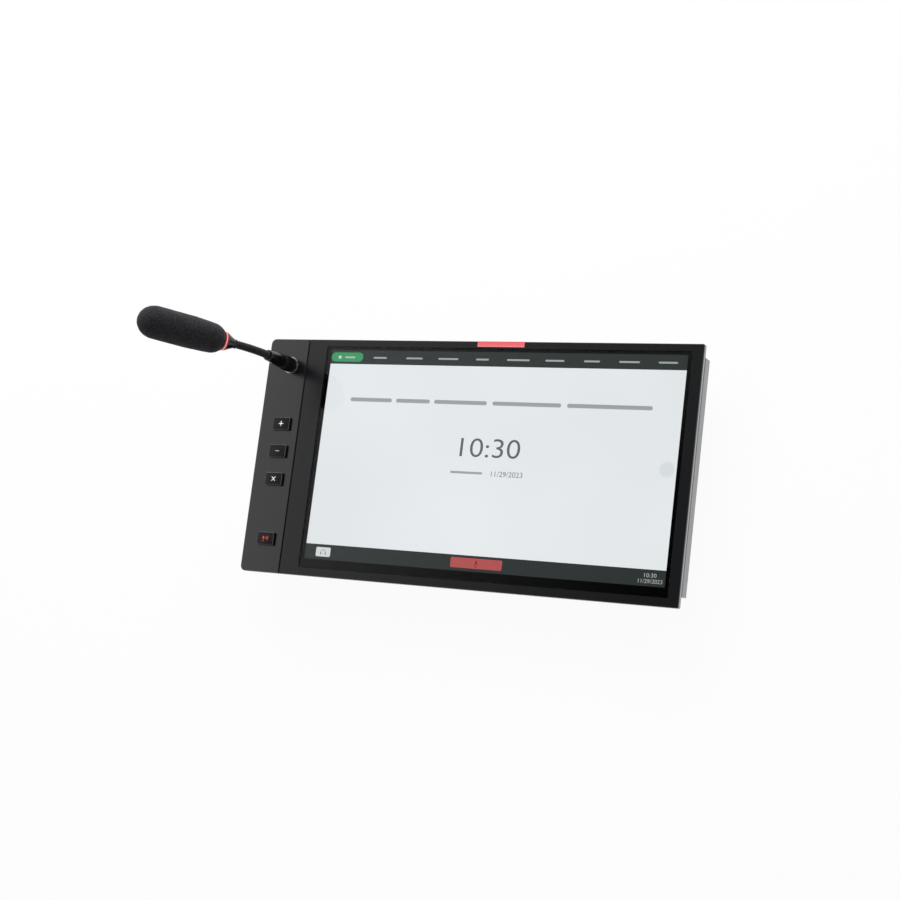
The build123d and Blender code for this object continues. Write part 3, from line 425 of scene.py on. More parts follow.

# %% [markdown]
# ## Key plastic
#
# The key caps are fine-grained plastic, a little darker than the plate because they mirror less.
# The bevels are paler, partly from finger polish and partly as a painted highlight where light catches the
# edges: where the normal points neither straight up nor sideways, the colour moves towards a pale grey.

# %% Key material
FLAT_TOP, BEVEL, WALL = 0.985, 0.88, 0.22
key_black, tree, shader = new_material("Key black", Specular_IOR_Level=0.35)
upward = parts_of(tree, "Normal")["Z"]
sloped = ramped(tree, upward, FLAT_TOP, BEVEL)
# painted highlight and wear: the bevels' pale grey stands for light caught on the edges as well as finger
# polish
polish_and_highlight = math_node(tree, "MULTIPLY", sloped, math_node(tree, "GREATER_THAN", upward, WALL))
key_grain = patterned(tree, grain_group, (0.0048, 0.0048, 0.0054), 0.38, 2400.0, 0.5, 0.25)
key_color = mixed_color(tree, polish_and_highlight, key_grain["Color"], (0.15, 0.15, 0.158))
link_finish(tree, shader, key_color, key_grain["Roughness"], key_grain["Height"], 0.006)
print("key plastic worn where its normal's z is between", WALL, "and", FLAT_TOP)

# %% [markdown]
# ## Circuit boards
#
# Boards are green solder mask over copper. A brick pattern of very thin mortar reads as rows of
# traces, and the mask over them is a little lighter and stands a few hundredths proud.

# %% Board material
board_green, tree, shader = new_material("Board green", Coat_Weight=0.3, Coat_Roughness=0.2)
traces = add_node(tree, "ShaderNodeTexBrick", Vector=coordinates_of(tree), Scale=120.0, Mortar_Size=0.04,
                  Brick_Width=1.6, Row_Height=0.22, Color1=(0.01, 0.07, 0.035), Color2=(0.012, 0.085, 0.04),
                  Mortar=(0.03, 0.16, 0.07)).outputs
board_grain = patterned(tree, grain_group, traces["Color"], 0.4, 1200.0, 0.4, 0.2)
link_finish(tree, shader, board_grain["Color"], board_grain["Roughness"], traces["Fac"], 0.03)
print("board material made")

# %% [markdown]
# ## Lit red lens
#
# The bar in the bezel's top edge and the ring under the windscreen glow from lamps behind a red
# lens. The bar is paler along its lower edge, where the lamps sit. The position along one
# direction picks the colour from a short ramp, and that colour feeds the emission.

# %% Glowing lens material
def glowing(name, direction, low, high, stops, strength, base):
    """A lens that glows in colours set along one direction between two levels, in metres."""
    material, tree, shader = new_material(name, Base_Color=base, Roughness=0.25, Emission_Strength=strength)
    place = coordinates_of(tree)
    share = ramped(tree, vector_node(tree, "DOT_PRODUCT", place, direction).outputs["Value"], low, high)
    mottle = add_node(tree, "ShaderNodeTexNoise", Vector=place, Scale=260.0, Detail=2.0).outputs["Fac"]
    shift = math_node(tree, "MULTIPLY", math_node(tree, "SUBTRACT", mottle, 0.5), 0.16)
    ramp = add_node(tree, "ShaderNodeValToRGB", Fac=math_node(tree, "ADD", share, shift))
    elements = ramp.color_ramp.elements
    elements.remove(elements[-1])
    for index, (position, color) in enumerate(stops):
        element = elements[0] if index == 0 else elements.new(position)
        element.position = position
        element.color = (*color, 1.0)
    skin = add_node(tree, "ShaderNodeBump", Height=mottle, Distance=0.01 * MM, Strength=1.0)
    tree.links.new(ramp.outputs["Color"], shader.inputs["Emission Color"])
    tree.links.new(skin.outputs["Normal"], shader.inputs["Normal"])
    return material


BAR_LOW, BAR_HIGH = 0.1044, 0.1093
bar_red = glowing("Light bar red", (0.0, 1.0, 0.0), BAR_LOW, BAR_HIGH,
                  [(0.0, (0.95, 0.32, 0.33)), (0.22, (0.9, 0.17, 0.18)), (1.0, (0.82, 0.13, 0.14))], 0.86,
                  (0.12, 0.015, 0.015))
print("light bar glows from", BAR_LOW, "to", BAR_HIGH)

# %% [markdown]
# ## Give the CAD nodes their finishes
#
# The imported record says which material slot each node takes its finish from. One table turns
# slots into materials, so no node is forgotten. Nodes that get a Blender piece later are only
# hidden then; they still get a finish here.

# %% Materials by slot
SLOT_FINISH = {
    "front_plate": strip_plate, "housing_metal": housing_grey, "glass": insulator, "display": insulator,
    "red_lens": bar_red, "key_plastic": key_black, "dome_rubber": dome_rubber, "board": board_green,
    "gilt": gilt, "chrome_trim": chrome, "insulator": insulator, "fastener": zinc,
    "black_metal": satin_black, "tube_metal": tube_grey, "foam": satin_black, "sink_metal": sink_grey,
    "jack_metal": jack_plate, "bush_rubber": bush_black,
}
slot_of = {part["node"]: part["material_slot"] for part in frame["record"]["subparts"]}
for node_name, node_object in frame["nodes"].items():
    node_object.data.materials.clear()
    node_object.data.materials.append(SLOT_FINISH[slot_of[node_name]])
frame["nodes"]["display_frame"].data.materials[0] = bezel_plate
print(len(slot_of), "nodes dressed from", len(SLOT_FINISH), "slots")

# %% [markdown]
# ## Shaping helpers
#
# All new pieces are built with bmesh in millimetres and turned into metres at the end. Three
# starts cover nearly everything here: a slab with rounded corners, an outline spun about an
# axis, and a flat outline pushed up into a plate. One helper ends them all: it merges doubles,
# turns the faces outwards and sets the shading. Its crease angle matters on glossy pieces: a big
# flat face that shares smooth normals with a narrow bevel mirrors like a bent sheet, so the glass
# and the sleeve are given a small crease angle.

# %% Slabs, spun shapes and plates
from bmesh.types import BMEdge, BMVert


def only(kind, geom):
    """The elements of one kind from a mixed list."""
    return [element for element in geom if isinstance(element, kind)]


def bevel(bm, edges, width, segments):
    """Rounds edges; gives the new vertices."""
    return bmesh.ops.bevel(bm, geom=edges, offset=width, affect="EDGES", segments=segments, profile=0.5,
                           material=-1)["verts"]


def slab(bm, x0, x1, y0, y1, z0, z1, corner=0.0, edge=0.0, edge_segments=2):
    """Adds a block with rounded upright corners and softened upper edges; gives its vertices."""
    middle = Vector(((x0 + x1) / 2, (y0 + y1) / 2, (z0 + z1) / 2))
    size = Vector((x1 - x0, y1 - y0, z1 - z0))
    sized = Matrix.Translation(middle) @ Matrix.Diagonal((*size, 1.0))
    verts = set(bmesh.ops.create_cube(bm, size=1.0, matrix=sized)["verts"])
    if corner:
        upright = [e for e in bm.edges if set(e.verts) <= verts
                   and abs(e.verts[0].co.z - e.verts[1].co.z) > 0.9 * size.z]
        verts |= set(bevel(bm, upright, corner, 5))
    verts = {v for v in verts if v.is_valid}
    if edge:
        upper = [e for e in bm.edges if set(e.verts) <= verts and min(v.co.z for v in e.verts) > z1 - 1e-5
                 and len(e.link_faces) == 2 and any(abs(f.normal.z) < 0.5 for f in e.link_faces)]
        bm.normal_update()
        verts |= set(bevel(bm, upper, edge, edge_segments))
    return [v for v in verts if v.is_valid]


def spun(bm, outline, steps=96, closed=False):
    """Adds a solid of revolution about Z from (radius, height) points; gives its vertices."""
    before = set(bm.verts)
    points = [bm.verts.new((radius, 0.0, z)) for radius, z in outline]
    pairs = list(zip(points, points[1:])) + ([(points[-1], points[0])] if closed else [])
    edges = [bm.edges.new(pair) for pair in pairs]
    bmesh.ops.spin(bm, geom=points + edges, cent=(0, 0, 0), axis=(0, 0, 1), angle=2 * math.pi, steps=steps,
                   use_merge=True)
    made = [v for v in bm.verts if v not in before]
    bmesh.ops.remove_doubles(bm, verts=made, dist=1e-5)
    return [v for v in bm.verts if v not in before]


def soften(bm, angle, width):
    """Bevels every edge that is sharper than the angle."""
    bm.normal_update()
    sharp = [e for e in bm.edges if len(e.link_faces) == 2 and e.calc_face_angle(0.0) > math.radians(angle)]
    bevel(bm, sharp, width, 2)


def plate(bm, outline, z0, z1):
    """Adds a flat plate from (x, y) points."""
    face = bm.faces.new([bm.verts.new((x, y, z0)) for x, y in outline])
    made = bmesh.ops.extrude_face_region(bm, geom=[face])["geom"]
    bmesh.ops.translate(bm, vec=(0.0, 0.0, z1 - z0), verts=only(BMVert, made))


def piece_from(bm, name, material, body, matrix=None, crease=32.0):
    """Makes the finished piece in metres, gives it its material and lets it ride on a body."""
    if matrix is not None:
        bmesh.ops.transform(bm, matrix=matrix, verts=bm.verts)
    bmesh.ops.scale(bm, vec=(MM,) * 3, verts=bm.verts)
    bmesh.ops.remove_doubles(bm, verts=bm.verts, dist=1e-8)
    bmesh.ops.recalc_face_normals(bm, faces=bm.faces)
    if bm.calc_volume(signed=True) < 0.0:
        bmesh.ops.reverse_faces(bm, faces=bm.faces)
    mesh = bpy.data.meshes.new(name)
    bm.to_mesh(mesh)
    bm.free()
    mesh.materials.append(material)
    mesh.shade_smooth()
    mesh.set_sharp_from_angle(angle=math.radians(crease))
    piece = bpy.data.objects.new(name, mesh)
    bpy.context.scene.collection.objects.link(piece)
    if body:
        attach(piece, body)
    return piece


print("shaping helpers ready")

# %% [markdown]
# ## What the display shows
#
# The real screen shows a menu bar, a title, a large clock and a lower bar. Words stay off this
# part, so plain rounded bars stand where they were and only numerals are written. The layout is
# kept as one small map from the rectified photograph: a grid of 0.2209 mm, counted from the
# panel's upper left corner. The page lies under the glass, and what is printed on it lies in a
# film of a few levels, each thinner than a hair.

# %% The picture's grid and levels
GRID = 0.22092
GRID_LEFT, GRID_TOP = -212.2 - 40 * GRID, 109.3 + 40 * GRID
SCREEN = (-145.7, 198.5, -93.35, 100.15)
FILM_LOW, FILM_HIGH = 3.75, 4.42
LAYER, PIXEL_DIMMING = 0.035, 0.05


def grid_box(x0, x1, y0, y1):
    """A box of the picture in millimetres, from grid numbers counted to the right and down."""
    return GRID_LEFT + x0 * GRID, GRID_LEFT + x1 * GRID, GRID_TOP - y1 * GRID, GRID_TOP - y0 * GRID


def film(level):
    """The lower and the upper side of a level in the film; level 1 lies on the page."""
    low = FILM_HIGH + (level - 1) * LAYER
    return low, low + LAYER


def lit(name, color):
    """A material for one colour of the picture."""
    material, tree, shader = new_material(name, Base_Color=(0.004, 0.004, 0.004), Roughness=0.5,
                                          Specular_IOR_Level=0.0, Emission_Strength=1.0)
    glow = add_node(tree, "ShaderNodeGroup", {"node_tree": picture_group}, Color=color, Grid=PIXEL_DIMMING)
    tree.links.new(glow.outputs["Color"], shader.inputs["Emission Color"])
    return material


page_white = lit("Page white", (0.836, 0.868, 0.89))
bar_slate = lit("Menu slate", (0.03, 0.037, 0.036))
tab_green = lit("Tab green", (0.045, 0.33, 0.13))
word_pale = lit("Word pale", (0.4, 0.415, 0.415))
word_grey = lit("Word grey", (0.36, 0.385, 0.4))
numeral_grey = lit("Numeral grey", (0.135, 0.145, 0.155))
numeral_pale = lit("Numeral pale", (0.5, 0.52, 0.52))
button_white = lit("Button white", (0.72, 0.74, 0.74))
button_red = lit("Button red", (0.455, 0.09, 0.089))
icon_red = lit("Icon red", (0.2, 0.02, 0.022))
touch_pale = lit("Touch spot pale", (0.74, 0.775, 0.795))
touch_rim = lit("Touch spot rim", (0.79, 0.825, 0.845))
print("picture spans", round(SCREEN[1] - SCREEN[0], 1), "x", round(SCREEN[3] - SCREEN[2], 1), "mm")

# %% Page, menu bars, tab and buttons
def on_screen(bm, name, material):
    """Ends a piece of the picture."""
    piece_from(bm, name, material, "console")


def layer(name, boxes, material, level, corner=0.0):
    """One piece of the picture: rounded bars on a level of the film."""
    bm = bmesh.new()
    for x0, x1, y0, y1 in boxes:
        slab(bm, x0, x1, y0, y1, *film(level), corner=min(corner, 0.49 * (y1 - y0), 0.49 * (x1 - x0)))
    on_screen(bm, name, material)


bm = bmesh.new()
slab(bm, *SCREEN, FILM_LOW, FILM_HIGH)
on_screen(bm, "screen_page", page_white)
top_bar = (SCREEN[0], SCREEN[1], 87.1, SCREEN[3])
low_bar = (SCREEN[0], SCREEN[1], SCREEN[2], grid_box(0, 0, 895, 895)[2])
layer("screen_menu_bars", [top_bar, low_bar], bar_slate, 1)
layer("screen_home_tab", [grid_box(343, 494, 92, 131)], tab_green, 2, corner=4.3)
HEADPHONE_BUTTON, MICROPHONE_BUTTON = grid_box(392, 460, 907, 945), grid_box(1010, 1233, 905, 945)
layer("screen_headphone_button", [HEADPHONE_BUTTON], button_white, 2, corner=1.2)
layer("screen_microphone_button", [MICROPHONE_BUTTON], button_red, 2, corner=1.2)
LABEL_MIDDLES = (575, 735, 890, 1043, 1200, 1357, 1513, 1667, 1823)
LABEL_WIDTHS = (62, 76, 90, 56, 98, 80, 66, 84, 76)
labels = [grid_box(x - w / 2, x + w / 2, 109, 116) for x, w in zip(LABEL_MIDDLES, LABEL_WIDTHS)]
layer("screen_menu_labels", labels, word_pale, 3, corner=0.75)
layer("screen_tab_label", [grid_box(408, 456, 109, 116)], numeral_pale, 3, corner=0.75)
TITLE_WORDS = ((460, 655), (675, 830), (850, 1085), (1110, 1405), (1430, 1780))
layer("screen_title_bars", [grid_box(x0, x1, 281, 297) for x0, x1 in TITLE_WORDS], word_grey, 1, corner=1.7)
layer("screen_day_bar", [grid_box(960, 1102, 565, 574)], word_grey, 1, corner=0.95)
print(len(labels), "labels and", len(TITLE_WORDS), "title bars")

# %% [markdown]
# ### Numerals
#
# Numerals are the only writing. A text object is the easy way to get good numerals; it is
# turned into a mesh first and only then moved, so that the finished object stays at the origin.

# %% Clock and dates
THINNER = 0.006


def numerals(name, words, box, level, material):
    """Numerals fitted into a box on a level of the film, as a thin raised mesh."""
    curve = bpy.data.curves.new(name, "FONT")
    curve.body = words
    curve.extrude = 0.5
    curve.offset = -THINNER
    writer = bpy.data.objects.new(name + "_text", curve)
    bpy.context.scene.collection.objects.link(writer)
    mesh = bpy.data.meshes.new_from_object(writer.evaluated_get(bpy.context.evaluated_depsgraph_get()))
    bpy.data.objects.remove(writer)
    bm = bmesh.new()
    bm.from_mesh(mesh)
    bpy.data.meshes.remove(mesh)
    low = Vector([min(v.co[k] for v in bm.verts) for k in range(3)])
    high = Vector([max(v.co[k] for v in bm.verts) for k in range(3)])
    x0, x1, y0, y1 = box
    size = high - low
    bmesh.ops.translate(bm, vec=-low, verts=bm.verts)
    bmesh.ops.scale(bm, vec=((x1 - x0) / size.x, (y1 - y0) / size.y, LAYER / size.z), verts=bm.verts)
    bmesh.ops.translate(bm, vec=(x0, y0, film(level)[0]), verts=bm.verts)
    on_screen(bm, name, material)


numerals("screen_clock", "10:30", grid_box(992, 1253, 431, 506), 1, numeral_grey)
numerals("screen_date", "11/29/2023", grid_box(1140, 1275, 559, 580), 1, numeral_grey)
numerals("screen_small_clock", "10:30", grid_box(1815, 1863, 909, 924), 2, numeral_pale)
numerals("screen_small_date", "11/29/2023", grid_box(1793, 1888, 931, 946), 2, numeral_pale)
print("numerals placed")

# %% [markdown]
# ### Icons
#
# A house on the tab, headphones and a microphone on the buttons and a round touch spot: each is
# a few flat outlines. A ring is a spun outline, as low as one level of the film.

# %% Icons and the touch spot
def disc(bm, x, y, radius, z0, z1, hole=0.0, steps=40, half=None):
    """Adds a disc or a ring; half 1 keeps its upper half only, half -1 its lower."""
    made = spun(bm, [(hole, z0), (radius, z0), (radius, z1), (hole, z1)], steps=steps, closed=hole > 0)
    if half:
        cut = bmesh.ops.bisect_plane(bm, geom=made + [e for e in bm.edges if set(e.verts) <= set(made)]
                                     + [f for f in bm.faces if set(f.verts) <= set(made)],
                                     plane_co=(0, 0, 0), plane_no=(0, -half, 0), clear_outer=True)
        bmesh.ops.edgenet_fill(bm, edges=only(BMEdge, cut["geom_cut"]))
        made = [v for v in made if v.is_valid] + only(BMVert, cut["geom_cut"])
    bmesh.ops.translate(bm, vec=(x, y, 0.0), verts=list(set(made)))


def middle_of(box):
    """The middle of a box."""
    return (box[0] + box[1]) / 2, (box[2] + box[3]) / 2


bm = bmesh.new()
x, y = middle_of(grid_box(376, 390, 105, 119))
plate(bm, [(x - 1.9, y), (x + 1.9, y), (x, y + 1.7)], *film(3))
plate(bm, [(x - 1.3, y - 1.6), (x - 0.4, y - 1.6), (x - 0.4, y - 0.5), (x + 0.4, y - 0.5), (x + 0.4, y - 1.6),
           (x + 1.3, y - 1.6), (x + 1.3, y), (x - 1.3, y)], *film(3))
on_screen(bm, "screen_house_icon", button_white)

bm = bmesh.new()
x, y = middle_of(HEADPHONE_BUTTON)
disc(bm, x, y - 0.4, 2.5, *film(3), hole=2.1, half=1)
for side in (-1, 1):
    slab(bm, x + side * 2.3 - 0.55, x + side * 2.3 + 0.55, y - 2.3, y - 0.3, *film(3), corner=0.5)
on_screen(bm, "screen_headphone_icon", numeral_grey)

bm = bmesh.new()
x, y = middle_of(MICROPHONE_BUTTON)
slab(bm, x - 0.8, x + 0.8, y - 0.6, y + 2.6, *film(3), corner=0.79)
disc(bm, x, y - 0.2, 1.75, *film(3), hole=1.4, half=-1)
slab(bm, x - 0.17, x + 0.17, y - 2.9, y - 1.8, *film(3))
slab(bm, x - 1.1, x + 1.1, y - 3.2, y - 2.85, *film(3))
on_screen(bm, "screen_microphone_icon", icon_red)

TOUCH_RADIUS, TOUCH_RIM = 6.0, 7.0
x, y = middle_of(grid_box(1860, 1860, 520, 520))
bm = bmesh.new()
disc(bm, x, y, TOUCH_RADIUS, *film(1))
on_screen(bm, "screen_touch_spot", touch_pale)
bm = bmesh.new()
disc(bm, x, y, TOUCH_RIM, *film(1), hole=TOUCH_RADIUS + 0.02)
on_screen(bm, "screen_touch_rim", touch_rim)
print("icons lie from", round(film(3)[0], 3), "to", round(film(3)[1], 3))

# %% [markdown]
# ## Cover glass
#
# The real cover glass is printed black on its back, up to the edge of the lit picture. The print
# is four thin strips; the glass over it is a plain clear slab with polished edges, coated so that
# it mirrors only half as much as bare glass. Printing with a mask in the glass material would be
# shorter, but glass exports best with plain transmission.

# %% Print and glass
PRINT_LOW, PRINT_HIGH = 4.54, 4.6
GLASS_LOW, GLASS_TOP = 4.62, 6.4
GLASS = (-149.9, 202.3, -101.65, 102.75)
APART = 0.01
print_black = grainy("Print black", (0.0011, 0.0015, 0.002), 0.5, 1500.0, 0.3, 0.1, 0.001,
                     Specular_IOR_Level=0.0)
bm = bmesh.new()
for y0, y1 in ((SCREEN[3], GLASS[3]), (GLASS[2], SCREEN[2])):
    slab(bm, GLASS[0], GLASS[1], y0, y1, PRINT_LOW, PRINT_HIGH)
for x0, x1 in ((GLASS[0], SCREEN[0]), (SCREEN[1], GLASS[1])):
    slab(bm, x0, x1, SCREEN[2] + APART, SCREEN[3] - APART, PRINT_LOW, PRINT_HIGH)
piece_from(bm, "glass_print", print_black, "console")

clear_glass, tree, shader = new_material("Clear glass", Transmission_Weight=1.0, IOR=1.33, Metallic=0.0)
glass_grain = patterned(tree, grain_group, (0.98, 0.985, 0.985), 0.02, 700.0, 0.01, 0.03)
link_finish(tree, shader, glass_grain["Color"], glass_grain["Roughness"])
bm = bmesh.new()
slab(bm, *GLASS, GLASS_LOW, GLASS_TOP, corner=0.6, edge=0.04)
cover_glass = piece_from(bm, "cover_glass", clear_glass, "console", crease=5.0)
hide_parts("touch_glass")

GASKET, GASKET_TOP = 0.22, 6.42
bm = bmesh.new()
for x0, x1 in ((GLASS[0] - GASKET, GLASS[0] - APART), (GLASS[1] + APART, GLASS[1] + GASKET)):
    slab(bm, x0, x1, GLASS[2] - GASKET, GLASS[3] + GASKET, PRINT_LOW, GASKET_TOP)
for y0, y1 in ((GLASS[2] - GASKET, GLASS[2] - APART), (GLASS[3] + APART, GLASS[3] + GASKET)):
    slab(bm, GLASS[0], GLASS[1], y0, y1, PRINT_LOW, GASKET_TOP)
gasket_black = grainy("Gasket black", (0.006, 0.006, 0.006), 0.7, 1100.0, 0.5, 0.1, 0.004,
                      Specular_IOR_Level=0.2)
piece_from(bm, "glass_gasket", gasket_black, "console")
print("glass", round(GLASS[1] - GLASS[0], 1), "x", round(GLASS[3] - GLASS[2], 1), "mm")

# %% [markdown]
# ## Push keys
#
# The keys are moulded caps with small rounded edges, which catch a thin line of light. The CAD
# cap has flat chamfers, so each is replaced by a slab with bevelled corners and edges, with a
# retaining flange below and a symbol printed on top. The symbols are plain strokes a few
# hundredths thick.

# %% Key caps
KEY_X, KEY_W, KEY_H = -187.8, 17.7, 11.8
KEY_TOP, KEY_FOOT = 9.4, 3.3
CAP_LOW, FLANGE_TOP, FLANGE_REACH = KEY_FOOT + 0.9, KEY_FOOT + 1.0, 0.9
KEY_YS = {"plus": 28.6, "minus": 2.9, "cancel": -23.2, "microphone": -78.6}
PRINT, CROSSING = 0.03, 0.004
print_grey = grainy("Symbol grey", (0.42, 0.42, 0.42), 0.5, 1800.0, 0.2, 0.1, 0.004)


def backlit(name, color, strength):
    """Print with a glow in its own colour; the glow is painted light that makes the symbols brighter than the
    lamps light them.
    """
    material, tree, shader = new_material(name, Emission_Strength=strength)
    grain = patterned(tree, grain_group, color, 0.5, 1800.0, 0.4, 0.1)
    link_finish(tree, shader, grain["Color"], grain["Roughness"])
    tree.links.new(grain["Color"], shader.inputs["Emission Color"])
    return material


# painted light: the glow brightens the printed symbols beyond what the lamps give
print_white = backlit("Symbol white", (0.88, 0.88, 0.88), 0.5)
print_red = backlit("Symbol red", (0.75, 0.09, 0.07), 0.28)
# Each stroke is its middle's place on the key, its length and width, its turn, and a lift that
# keeps it off a stroke that it crosses.
SYMBOLS = {
    "plus": [(0.0, 0.0, 5.0, 0.54), (0.0, 0.0, 5.0, 0.54, 90, CROSSING)],
    "minus": [(0.0, 0.0, 4.2, 0.85)],
    "cancel": [(0.0, 0.0, 5.7, 0.46, 45), (0.0, 0.0, 5.7, 0.46, -45, CROSSING)],
    "microphone": [(-2.0, 0.6, 2.9, 1.3, 90), (-2.0, -1.8, 1.1, 0.4, 90), (-2.0, -2.4, 2.0, 0.4),
                   (0.1, 0.4, 1.8, 0.42, 82), (1.4, 0.4, 3.0, 0.42, 82), (2.7, 0.4, 4.2, 0.42, 82)],
}


def stroke(bm, x, y, length, width, turn=0.0, lift=0.0):
    """Adds a printed stroke with round ends, turned about its middle."""
    made = slab(bm, -length / 2, length / 2, -width / 2, width / 2, 0.0, PRINT + lift, corner=0.45 * width)
    bmesh.ops.rotate(bm, cent=(0, 0, 0), matrix=Matrix.Rotation(math.radians(turn), 3, "Z"), verts=made)
    bmesh.ops.translate(bm, vec=(x, y, KEY_TOP), verts=made)


for key_name, key_y in KEY_YS.items():
    left, right = KEY_X - KEY_W / 2, KEY_X + KEY_W / 2
    low, high = key_y - KEY_H / 2, key_y + KEY_H / 2
    bm = bmesh.new()
    slab(bm, left, right, low, high, CAP_LOW, KEY_TOP, corner=1.0, edge=0.45, edge_segments=4)
    slab(bm, left - FLANGE_REACH, right + FLANGE_REACH, low - FLANGE_REACH, high + FLANGE_REACH, KEY_FOOT,
         FLANGE_TOP)
    body = key_name + "_button"
    cap = piece_from(bm, key_name + "_cap", key_black, body, crease=50.0)
    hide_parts(key_name + "_key")
    bm = bmesh.new()
    for x, y, *drawn in SYMBOLS[key_name]:
        stroke(bm, KEY_X + x, key_y + y, *drawn)
    ink = {"minus": print_grey, "microphone": print_red}.get(key_name, print_white)
    piece_from(bm, key_name + "_symbol", ink, body)
print(len(KEY_YS), "key caps with symbols")

# %% [markdown]
# ### Rubber domes
#
# Under each cap stands a moulded silicone dome: a flat foot, a thin sloping web, a firm top and
# the contact pill that hangs inside. Riding on the key instead would push its foot through the
# board.

# %% Domes under the caps
DOME_FOOT = node_box("plus_dome")[0].z
DOME_TALL, TRAVEL = KEY_FOOT - DOME_FOOT, 1.2
DOME_OUTLINE = [(0.0, DOME_TALL), (2.8, DOME_TALL), (2.95, DOME_TALL - 0.15), (3.0, DOME_TALL - 1.1),
                (3.25, DOME_TALL - 1.5), (4.85, 0.95), (5.1, 0.6), (5.75, 0.6), (5.9, 0.45), (5.9, 0.0),
                (4.45, 0.0), (4.4, 0.3), (2.6, DOME_TALL - 1.1), (2.35, DOME_TALL - 0.8),
                (1.7, DOME_TALL - 0.8), (1.7, 1.5), (1.6, 1.4), (0.0, 1.4)]
for key_name, key_y in KEY_YS.items():
    bm = bmesh.new()
    spun(bm, DOME_OUTLINE, steps=64)
    dome = piece_from(bm, key_name + "_rubber", dome_rubber, "console", crease=40.0,
                      matrix=Matrix.Translation((KEY_X, key_y, DOME_FOOT)))
    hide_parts(key_name + "_dome")
    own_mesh(dome)
print("domes", round(DOME_TALL, 2), "mm tall, flattened to", round(DOME_TALL - TRAVEL, 2))

# %% [markdown]
# ## Socket lip, lock collar and sleeve
#
# The microphone plugs into a plated socket, whose rounded lip shows as a thin bright arc, and is
# held by a knurled collar; above it a glossy sleeve tapers to the neck. All are spun. The knurl
# is made by drawing every second column of the collar's wall inwards, which is what the tool
# does to the real one.

# %% Socket lip
SOCKET = Vector((-187.3, 84.4, 0.0))
at_socket = Matrix.Translation(SOCKET)
FACE = node_box("mic_module_plate")[1].z
LIP_FOOT, LIP_TOP = FACE + 0.02, FACE + 0.84
bm = bmesh.new()
spun(bm, [(7.0, LIP_FOOT), (7.64, LIP_FOOT), (7.64, FACE + 0.1), (7.2, LIP_TOP), (7.0, LIP_TOP)], closed=True,
     steps=128)
soften(bm, 20, 0.05)
piece_from(bm, "socket_lip", bright_lip, "console", matrix=at_socket, crease=8.0)
print("plate's face at z", round(FACE, 2), "lip up to", round(LIP_TOP, 2))

# %% Collar and sleeve
COLLAR_LOW, COLLAR_HIGH = (corner.z for corner in node_box("lock_collar"))
SLEEVE_LOW, SLEEVE_HIGH = (corner.z for corner in node_box("stem_sleeve"))
KNURLS, KNURL_WAIST = 64, 0.97
KNURL_LOW, KNURL_HIGH = COLLAR_LOW + 1.8, COLLAR_HIGH - 2.3
STEM_BORE, END_RING = 3.75, SLEEVE_HIGH - 1.1
bm = bmesh.new()
collar = spun(bm, [(6.2, COLLAR_LOW), (6.85, COLLAR_LOW), (7.0, COLLAR_LOW + 0.2), (7.0, COLLAR_LOW + 1.5),
                   (6.8, COLLAR_LOW + 1.7), (6.95, COLLAR_LOW + 1.9), (6.8, COLLAR_HIGH - 2.4),
                   (6.55, COLLAR_HIGH - 2.2), (6.7, COLLAR_HIGH - 1.9), (6.6, COLLAR_HIGH - 0.3),
                   (6.3, COLLAR_HIGH), (5.3, COLLAR_HIGH), (5.3, COLLAR_HIGH - 6.0),
                   (6.2, COLLAR_HIGH - 6.0)], steps=KNURLS * 2, closed=True)
for vertex in collar:
    column = round(math.atan2(vertex.co.y, vertex.co.x) / (math.pi / KNURLS))
    if column % 2 and KNURL_LOW < vertex.co.z < KNURL_HIGH:
        vertex.co.xy *= KNURL_WAIST
collar_piece = piece_from(bm, "knurled_collar", satin_black, "lock_ring",
                          matrix=at_socket, crease=24.0)
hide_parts("lock_collar")

bm = bmesh.new()
spun(bm, [(STEM_BORE, SLEEVE_LOW), (6.1, SLEEVE_LOW), (6.4, SLEEVE_LOW + 0.3), (6.4, SLEEVE_LOW + 1.6),
          (4.95, SLEEVE_HIGH - 1.3), (4.75, END_RING), (STEM_BORE, END_RING)], closed=True, steps=128)
soften(bm, 20, 0.12)
sleeve = piece_from(bm, "tapered_sleeve", gloss_black, "mic_stem",
                    matrix=at_socket, crease=8.0)
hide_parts("stem_sleeve")
bm = bmesh.new()
spun(bm, [(STEM_BORE, END_RING), (4.85, END_RING), (4.98, SLEEVE_HIGH - 0.9), (4.98, SLEEVE_HIGH - 0.35),
          (4.75, SLEEVE_HIGH), (3.95, SLEEVE_HIGH), (STEM_BORE, SLEEVE_HIGH - 0.2)], closed=True)
piece_from(bm, "sleeve_end_ring", smoked_chrome, "mic_stem", matrix=at_socket, crease=8.0)
print("collar", round(COLLAR_LOW, 2), "to", round(COLLAR_HIGH, 2), "sleeve up to", round(SLEEVE_HIGH, 2))

# %% [markdown]
# ## Gooseneck
#
# A gooseneck is a wound steel tube that bends evenly. In the frame it bends at four ball joints,
# so the visible neck is four short ribbed skins, one across each joint. At rest each skin is an
# arc of seven degrees between the middles of two links.

# %% Where the neck runs
LEAN_STEP, HEADING = 7.0, 2.5
LINK = 10.0
NECK_RADIUS, NECK_SIDES = 3.65, 48
FOOT = Vector((SOCKET.x, SOCKET.y, SLEEVE_HIGH))


def lean(steps):
    """The neck's direction after so many joints."""
    out, turn = math.radians(LEAN_STEP * steps), math.radians(HEADING)
    return Vector((-math.sin(out) * math.cos(turn), math.sin(out) * math.sin(turn), math.cos(out)))


balls = [FOOT + lean(0) * LINK / 2]
for index in range(1, 4):
    balls.append(balls[-1] + lean(index) * LINK)
head_foot = balls[-1] + lean(4) * LINK / 2
bend_axis = Vector((-math.sin(math.radians(HEADING)), -math.cos(math.radians(HEADING)), 0.0))
print("balls", [[round(v, 2) for v in ball] for ball in balls], "head foot", [round(v, 3) for v in head_foot])

